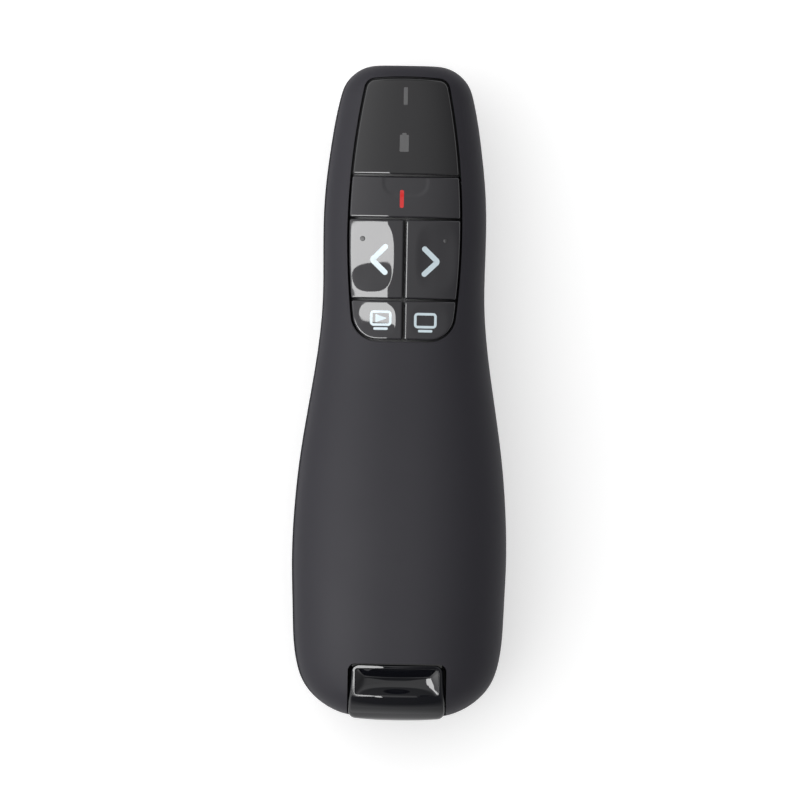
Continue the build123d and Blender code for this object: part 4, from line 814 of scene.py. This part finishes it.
# A screen's frame: how far its line's middle lies inside its box, its corners and width. The line
# under it: drop, half length, width and points. The play mark: its rear's and its tip's distance from
# the screen's middle, its margin and its corners.
FRAME_INSET, FRAME_R, FRAME_WIDTH = 0.3, 0.42, 0.45
FOOT_DROP, FOOT_HALF, FOOT_WIDTH, FOOT_POINTS = 0.4, 1.05, 0.46, 14
PLAY_REAR, PLAY_TIP, PLAY_MARGIN, PLAY_R = 0.95, 1.2, 0.68, 0.1


def monitor(name, left, right, low, high, play):
    """Outline of a screen with a rounded corner, a line under it, and a play mark in it or none."""
    inset, middle, foot_y = FRAME_INSET, (left + right) / 2, low - FOOT_DROP
    box = box_corners(left + inset, right - inset, low + inset, high - inset)
    foot = np.linspace((middle - FOOT_HALF, foot_y), (middle + FOOT_HALF, foot_y), FOOT_POINTS)
    shapes = [stroke(name, rounded_path(box, FRAME_R, True), FRAME_WIDTH, True),
              stroke(name, foot, FOOT_WIDTH)]
    if play:
        rear, tip = middle - PLAY_REAR, (middle + PLAY_TIP, (low + high) / 2)
        shapes.append(patch(name, [(rear, low + PLAY_MARGIN), tip, (rear, high - PLAY_MARGIN)], PLAY_R))
    return joined(shapes)


def bar(name, left, right, low, high, radius):
    """A printed rectangle with round corners."""
    return patch(name, box_corners(left, right, low, high), radius)


# Each mark's body, the key whose face it lies on, its material, and its shapes with their sizes. The
# marks of the keys on the right are drawn on the left keys' faces and mirrored.
MARKS = {
    "previous_mark": ("previous_key", "previous", "print_white", [
        (arrow, -3.38, 25.72, -5.66, 23.4, 21.2)]),
    "previous_pip": ("previous_key", "previous", "inner_plastic", [(pip, -7.4, 27.1, 0.45)]),
    "next_mark": ("next_key", "previous", "print_white", [(arrow, -3.56, 25.42, -5.88, 23.2, 21.0)]),
    "next_pip": ("next_key", "previous", "inner_plastic", [(pip, -7.2, 26.9, 0.38)]),
    "start_show_mark": ("start_show_key", "start_show", "print_white", [
        (monitor, -5.95, -2.0, 11.68, 14.56, True)]),
    "blank_screen_mark": ("blank_screen_key", "start_show", "print_white", [
        (monitor, -5.96, -1.82, 11.36, 14.24, False)]),
    "laser_mark": ("laser_key", "laser", "print_red", [(bar, -0.97, -0.27, 32.6, 35.75, 0.28)]),
    "status_marks": ("housing", "status_window", "print_grey", [
        (bar, -0.6, 0.1, 50.8, 53.9, 0.12), (bar, -1.16, 0.42, 42.5, 45.5, 0.18),
        (bar, -0.745, 0.005, 45.45, 45.83, 0.08)]),
}
for mark, (body, key_name, ink, shapes) in MARKS.items():
    skin = joined([shape(key_name, *sizes) for shape, *sizes in shapes])
    if body in ("next_key", "blank_screen_key"):
        skin = mirrored(*skin)
    put(mark, *skin, [ink], body, smooth=40.0)


# ---- Receiver and cells ----
# The cap in plan and across, the thumb hollow in its top, the stick under the cap with its slot.
CAP_FRONT_Y, CAP_END_Y, CAP_TAPER_Y, CAP_END_CROWN = -47.9, -57.75, -54.2, 0.45
CAP_HALF, CAP_NECK_HALF, CAP_CORNER_R, CAP_NECK_R, CAP_WAIST_R = 8.45, 8.0, 1.3, 1.3, 6.0
CAP_TOP_DROP, CAP_TOP_EDGE_R, CAP_CROWN_R, CAP_SIDE_R, CAP_FOOT = 0.1, 4.2, 46.0, 0.45, 0.9
THUMB_FRONT_Y, THUMB_REAR_Y, THUMB_HALF, THUMB_R, THUMB_SLOPE = -48.6, -53.2, 7.3, 0.5, 1.6
THUMB_DEPTH, THUMB_BOWL, THUMB_STEEP, MOUTH_R = 1.05, 0.12, 1.2, 0.16
RIM_ALONG, RIM_AROUND, MOUTH_ALONG = 60, 24, 110  # points
LAND_RINGS, SLOPE_RINGS, BOWL_RINGS = 30, 16, 10
STICK_HALF, STICK_BOTTOM_Z, STICK_TOP_Z, STICK_LENGTH = 8.2, 15.0, 22.2, 20.0
STICK_R, STICK_BEVEL, STICK_OVERLAP, LID_TOP_Z = 0.3, 0.09, 0.4, 16.05
SLOT_HALF, SLOT_HEIGHT, SLOT_DEPTH, SLOT_R = 6.1, 2.35, 1.9, 0.6
CAP_TOP_Z, CAP_REAR_Z = section_size(np.array([CAP_FRONT_Y, CAP_TAPER_Y]))[1] - CAP_TOP_DROP


def cap_top(x, y):
    """Height of the cap: a straight fall to the rear that goes on under a quarter circle sunk by as
    much, less the drop of a broad crown across."""
    turn_y = CAP_END_Y + CAP_TOP_EDGE_R
    steep = (CAP_REAR_Z - CAP_TOP_Z) / (turn_y - CAP_FRONT_Y)
    share = np.clip((turn_y - y) / CAP_TOP_EDGE_R, 0, 1)
    bend = CAP_TOP_EDGE_R * (1 - steep) * (1 - np.sqrt(1 - share**2))
    along = CAP_REAR_Z + (y - turn_y) * steep - bend
    return along - CAP_CROWN_R + np.sqrt(CAP_CROWN_R**2 - x**2)


def by_angle(curve, centre, angles):
    """The closed curve's points in these directions from a centre that sees all of it."""
    away = curve - centre
    turn = np.arctan2(away[:, 1], away[:, 0])
    order = np.argsort(turn)
    turn, away = turn[order], away[order]
    turn = np.concatenate([turn - 2 * math.pi, turn, turn + 2 * math.pi])
    away = np.concatenate([away] * 3)
    return centre + np.stack([np.interp(angles, turn, away[:, k]) for k in range(2)], -1)


BOX_AROUND = 14  # points in each corner


def rounded_box(half_width, low, high, radius, along=30):
    """Outline of a rectangle with round corners."""
    edges = [level(low, 1), upright(half_width, -1), level(high, -1), upright(-half_width, 1)]
    spots = box_corners(1 - half_width, half_width - 1, low + 1, high - 1)
    return outline(edges, [(*spot, radius) for spot in spots[1:] + spots[:1]], 0.0, along, BOX_AROUND)


def cap_skin():
    """Receiver's grip: walls up from the stick's level, a rounded shoulder, the crowned top, the
    rounded mouth of the thumb hollow, its curved slope and its floor."""
    side_y = CAP_END_Y + CAP_END_CROWN
    end = circle_through((-CAP_HALF, side_y), (0, CAP_END_Y), (CAP_HALF, side_y))
    slant = unit(np.array([CAP_FRONT_Y - CAP_TAPER_Y, CAP_HALF - CAP_NECK_HALF]))
    edges = [
        end, upright(CAP_HALF, -1), (CAP_HALF, CAP_TAPER_Y, -slant[0], -slant[1]),
        level(CAP_FRONT_Y, -1), (-CAP_HALF, CAP_TAPER_Y, slant[0], -slant[1]), upright(-CAP_HALF, 1),
    ]
    corners = [(7, -56.3, CAP_CORNER_R), (2, CAP_TAPER_Y, CAP_WAIST_R), (6.8, -49.1, CAP_NECK_R)]
    corners += [(-x, y, radius) for x, y, radius in corners[::-1]]
    middle = np.array([0.0, (THUMB_FRONT_Y + THUMB_REAR_Y) / 2])
    mouth = rounded_box(THUMB_HALF, THUMB_REAR_Y, THUMB_FRONT_Y, THUMB_R, MOUTH_ALONG)
    low, high = THUMB_REAR_Y + THUMB_SLOPE, THUMB_FRONT_Y - THUMB_SLOPE
    floor = rounded_box(THUMB_HALF - THUMB_SLOPE, low, high, THUMB_R / 2, MOUTH_ALONG)
    angles = np.arctan2(mouth[:, 1] - middle[1], mouth[:, 0] - middle[0])
    rim = by_angle(outline(edges, corners, 0.0, RIM_ALONG, RIM_AROUND), middle, angles)
    rings = [lifted(towards(rim, CAP_FOOT), STICK_BOTTOM_Z), lifted(rim, STICK_BOTTOM_Z)]
    floor_z = CAP_REAR_Z - THUMB_DEPTH
    for share in 1 - np.cos(np.linspace(0, math.pi / 2, LAND_RINGS)):
        plan = rim + (mouth - rim) * share
        inside, short = np.linalg.norm(plan - rim, axis=1), np.linalg.norm(plan - mouth, axis=1)
        z = cap_top(*plan.T) - rounding(inside, CAP_SIDE_R) - rounding(short, MOUTH_R)
        rings.append(lifted(plan, z))
    edge_z = rings[-1][:, 2]
    for share in np.linspace(0, 1, SLOPE_RINGS)[1:]:
        fall = THUMB_STEEP * share + (1 - THUMB_STEEP) * share**4
        rings.append(lifted(mouth + (floor - mouth) * share, edge_z + (floor_z - edge_z) * fall))
    for share in np.linspace(1, 0, BOWL_RINGS)[1:-1]:
        rings.append(lifted(towards(floor, share), floor_z - THUMB_BOWL * (1 - share**2)))
    return closed_rings(rings)


def upright_ring(half, low, high, radius, y):
    """Ring round a bar along Y: a rectangle with round corners, across at y."""
    plan = rounded_box(half, low, high, radius)
    return np.stack([-plan[:, 0], np.full(len(plan), y), plan[:, 1]], -1)


def stick_skin():
    """Shell of the stick between the cap and the plug, with the plug's slot sunk in its front."""
    front, middle = CAP_FRONT_Y + STICK_LENGTH, (STICK_BOTTOM_Z + STICK_TOP_Z) / 2
    rings = []
    for y, inset in ((CAP_FRONT_Y - STICK_OVERLAP, 0), (front - STICK_R, 0),
                     (front - STICK_BEVEL, STICK_BEVEL), (front, STICK_R)):
        box = STICK_HALF - inset, LID_TOP_Z + inset, STICK_TOP_Z - inset
        rings.append(upright_ring(*box, STICK_R, y))
    for y in (front, front - SLOT_DEPTH):
        rings.append(upright_ring(SLOT_HALF, middle - SLOT_HEIGHT, middle + SLOT_HEIGHT, SLOT_R, y))
    return closed_rings(rings)


put("receiver_body", *joined([cap_skin(), stick_skin()]), ["cap_black"], "receiver",
    ["receiver_case"], "gloss_black", 42.0)

CELL_R, CELL_NUB_R, CELL_NUB, CELL_SIDES = 5.25, 1.9, 0.8, 72
# A cell's profile: what a point is measured from (0 the base, 1 the jacket's end, 2 the nub's end), how
# far ahead of it, and the radius. The bands from one point to the next with these numbers are jacket.
CELL_PROFILE = (
    (0, 0, 0.4), (0, 0, 4.2), (0, 0.12, 4.45), (0, 0.12, 4.6), (0, 0, 4.7), (0, 0, 4.95),
    (0, 0.1, 5.12), (0, 0.3, CELL_R), (0, 3.0, CELL_R), (1, -3.0, CELL_R), (1, -0.3, CELL_R),
    (1, -0.1, 5.12), (1, 0, 4.95), (1, 0, 4.55), (1, -0.15, 4.4), (1, -0.15, 2.2), (1, -0.1, 2.0),
    (1, 0.1, CELL_NUB_R), (2, -0.2, CELL_NUB_R), (2, 0, CELL_NUB_R - 0.2), (2, 0, 0.4),
)
JACKET = range(3, 13)


def cell(name, x, z, low, high, nub_ahead):
    """A cell, its profile turned about an axis along Y: steel base, jacket with rolled ends, an
    insulating ring round the steel nub."""
    ends = low, high - CELL_NUB, high
    profile = [(ends[end] + ahead, radius) for end, ahead, radius in CELL_PROFILE]
    steel = [int(band not in JACKET) for band in range(len(profile) - 1)]
    if not nub_ahead:
        profile = [(low + high - y, radius) for y, radius in profile[::-1]]
        steel = steel[::-1]
    cosine, sine = circle(CELL_SIDES).T
    rings = [np.stack([x + r * sine, np.full(CELL_SIDES, y), z + r * cosine], -1) for y, r in profile]
    kinds = np.concatenate([np.repeat(steel, CELL_SIDES), np.full(2 * CELL_SIDES, 1)])
    put(name + "_jacket", *closed_rings(rings), ["cell_jacket", "plated_steel"], BODY_OF[name],
        [name], "cell_jacket", 30.0, kinds)


for side_cell, nub_ahead in (("cell_left", True), ("cell_right", False)):
    (x0, y0, z0), (x1, y1, z1) = (np.array(c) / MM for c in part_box(side_cell))
    cell(side_cell, (x0 + x1) / 2, (z0 + z1) / 2, y0, y1, nub_ahead)


# ---- Camera, light and floor ----
VIEW_WIDTH, VIEW_LEVEL = 0.14142, 0.012  # metres across the picture, at this height over the table
VIEW_HEIGHT, SENSOR, PICTURE = 3.0, 36.0, 800  # camera over the table, its sensor, and pixels across
LEAN = math.radians(1.015)  # the clicker's nose leans to the right
SHIFT_X, SHIFT_Y = -1.71, -7.0  # its middle from the picture's, in pixels
# A panel over the left side, which only mirrors see: its height, and its edges as shares of that.
PANEL_Z, PANEL_X, PANEL_Y, PANEL_RADIANCE = 0.6, (-1.9, -0.115), (-0.66, 0.158), 9.0
# The walls: brightness at the horizon, the sines over which it falls to 1 overhead, brightness
# below, the fall from left to right and the rise towards the nose.
WALL_LEVEL, WALL_SINES, BELOW_LEVEL, SIDE_FALL, NOSE_RISE = 1.7, (0.05, 0.35), 0.4, 0.70, 0.15
# A dark card behind the tail, and one ahead of the nose that only mirrors see: their directions, the
# cosines of their soft edges, and the light they leave or take.
CARD_WAY, CARD_EDGE, CARD_LEVEL = (0.0, -0.6, 0.8), (0.88, 0.955), 0.2
FRONT_WAY, FRONT_EDGE, FRONT_DARK = (0.0, 0.90, 0.43), (0.90, 0.96), 0.7
FLOOR_SHADE, FLOOR_GLOW, FLOOR_Z, FLOOR_REACH = 0.8, 0.42, -0.00003, 4.0
FLOOR_ROUGH, FLOOR_SHEEN = 0.9, 0.1
# The floor lets light through where the clicker lies on it, and is clear seen from below.
UNDER_HALF_X, UNDER_HALF_Y, UNDER_Y = 0.011, 0.021, -0.026


def set_camera():
    """Camera straight above."""
    data = bpy.data.cameras.new("camera")
    camera = bpy.context.scene.camera = linked("camera", data)
    data.sensor_width = SENSOR
    data.lens = SENSOR * (VIEW_HEIGHT - VIEW_LEVEL) / VIEW_WIDTH
    data.clip_start, data.clip_end = 0.1, 20.0
    across, up = (shift * VIEW_WIDTH / PICTURE for shift in (SHIFT_X, SHIFT_Y))
    camera.rotation_euler = (0, 0, LEAN)
    camera.location = (
        across * math.cos(LEAN) + up * math.sin(LEAN),
        up * math.cos(LEAN) - across * math.sin(LEAN),
        VIEW_HEIGHT,
    )


def hang_panel():
    """The panel on the left."""
    panel = bpy.data.lights.new("panel_left", "AREA")
    panel.shape = "RECTANGLE"
    panel.size, panel.size_y = ((high - low) * PANEL_Z for low, high in (PANEL_X, PANEL_Y))
    panel.energy = PANEL_RADIANCE * 4 * panel.size * panel.size_y
    lamp = linked("panel_left", panel)
    lamp.location = (sum(PANEL_X) / 2 * PANEL_Z, sum(PANEL_Y) / 2 * PANEL_Z, PANEL_Z)
    lamp.visible_camera = lamp.visible_diffuse = False


def facing(tree, way, card):
    """How far the way faces a card: their dot product."""
    return add(tree, "VectorMath", {0: way, 1: card}, operation="DOT_PRODUCT").outputs["Value"]


def light_walls():
    """White walls and the two cards."""
    world = bpy.context.scene.world = bpy.data.worlds.new("studio")
    world.use_nodes = True
    tree = world.node_tree
    way = add(tree, "TexCoord").outputs["Generated"]
    axes = add(tree, "SeparateXYZ", {0: way}).outputs
    light = ramp(tree, axes["Z"], WALL_SINES, WALL_LEVEL, 1.0)
    below = ramp(tree, axes["Z"], (-WALL_SINES[1], 0.0), BELOW_LEVEL, 1.0)
    side = calc(tree, "MULTIPLY_ADD", axes["X"], -SIDE_FALL, 1.0)
    side = calc(tree, "MULTIPLY_ADD", axes["Y"], NOSE_RISE, side)
    tail_card = ramp(tree, facing(tree, way, CARD_WAY), CARD_EDGE, 1.0, CARD_LEVEL)
    dark = ramp(tree, facing(tree, way, FRONT_WAY), FRONT_EDGE, 0.0, FRONT_DARK)
    dark = calc(tree, "MULTIPLY", dark, add(tree, "LightPath").outputs["Is Glossy Ray"])
    for share in (below, side, tail_card, calc(tree, "SUBTRACT", 1.0, dark)):
        light = calc(tree, "MULTIPLY", light, share)
    fill(tree, tree.nodes["Background"].inputs, {"Color": (1, 1, 1, 1), "Strength": light})


def lay_floor():
    """A pale floor that glows a little for the camera and for mirrors."""
    mesh = bpy.data.meshes.new("floor")
    corners = box_corners(-FLOOR_REACH, FLOOR_REACH, -FLOOR_REACH, FLOOR_REACH)
    mesh.from_pydata([(x, y, FLOOR_Z) for x, y in corners], [], [(0, 1, 2, 3)])
    linked("floor", mesh)
    paper = bpy.data.materials.new("floor_paper")
    mesh.materials.append(paper)
    paper.use_nodes = True
    tree = paper.node_tree
    seen = add(tree, "LightPath").outputs
    glow = calc(tree, "MAXIMUM", seen["Is Camera Ray"], seen["Is Glossy Ray"])
    glow = calc(tree, "MAXIMUM", glow, seen["Is Transmission Ray"])
    shader = tree.nodes["Principled BSDF"]
    fill(tree, shader.inputs, {
        "Base Color": (FLOOR_SHADE, FLOOR_SHADE, FLOOR_SHADE, 1), "Roughness": FLOOR_ROUGH,
        "Specular IOR Level": FLOOR_SHEEN, "Emission Color": (1, 1, 1, 1),
        "Emission Strength": calc(tree, "MULTIPLY", glow, FLOOR_GLOW),
    })
    spot = add(tree, "TexCoord").outputs["Object"]
    spot = add(tree, "SeparateXYZ", {0: spot}).outputs
    away_x = calc(tree, "MULTIPLY", spot["X"], 1 / UNDER_HALF_X)
    away_y = calc(tree, "MULTIPLY_ADD", spot["Y"], 1 / UNDER_HALF_Y, -UNDER_Y / UNDER_HALF_Y)
    farther = calc(tree, "MAXIMUM", calc(tree, "ABSOLUTE", away_x), calc(tree, "ABSOLUTE", away_y))
    under = calc(tree, "LESS_THAN", farther, 1.0)
    back = add(tree, "NewGeometry").outputs["Backfacing"]
    clear = add(tree, "Mix", {"Factor": seen["Is Camera Ray"], "A": under, "B": back})
    hole = add(tree, "BsdfTransparent")
    values = {0: clear.outputs["Result"], 1: shader.outputs[0], 2: hole.outputs[0]}
    mixed = add(tree, "MixShader", values).outputs[0]
    fill(tree, tree.nodes["Material Output"].inputs, {"Surface": mixed})


set_camera()
hang_panel()
light_walls()
lay_floor()
bpy.context.scene.view_settings.view_transform = "Standard"
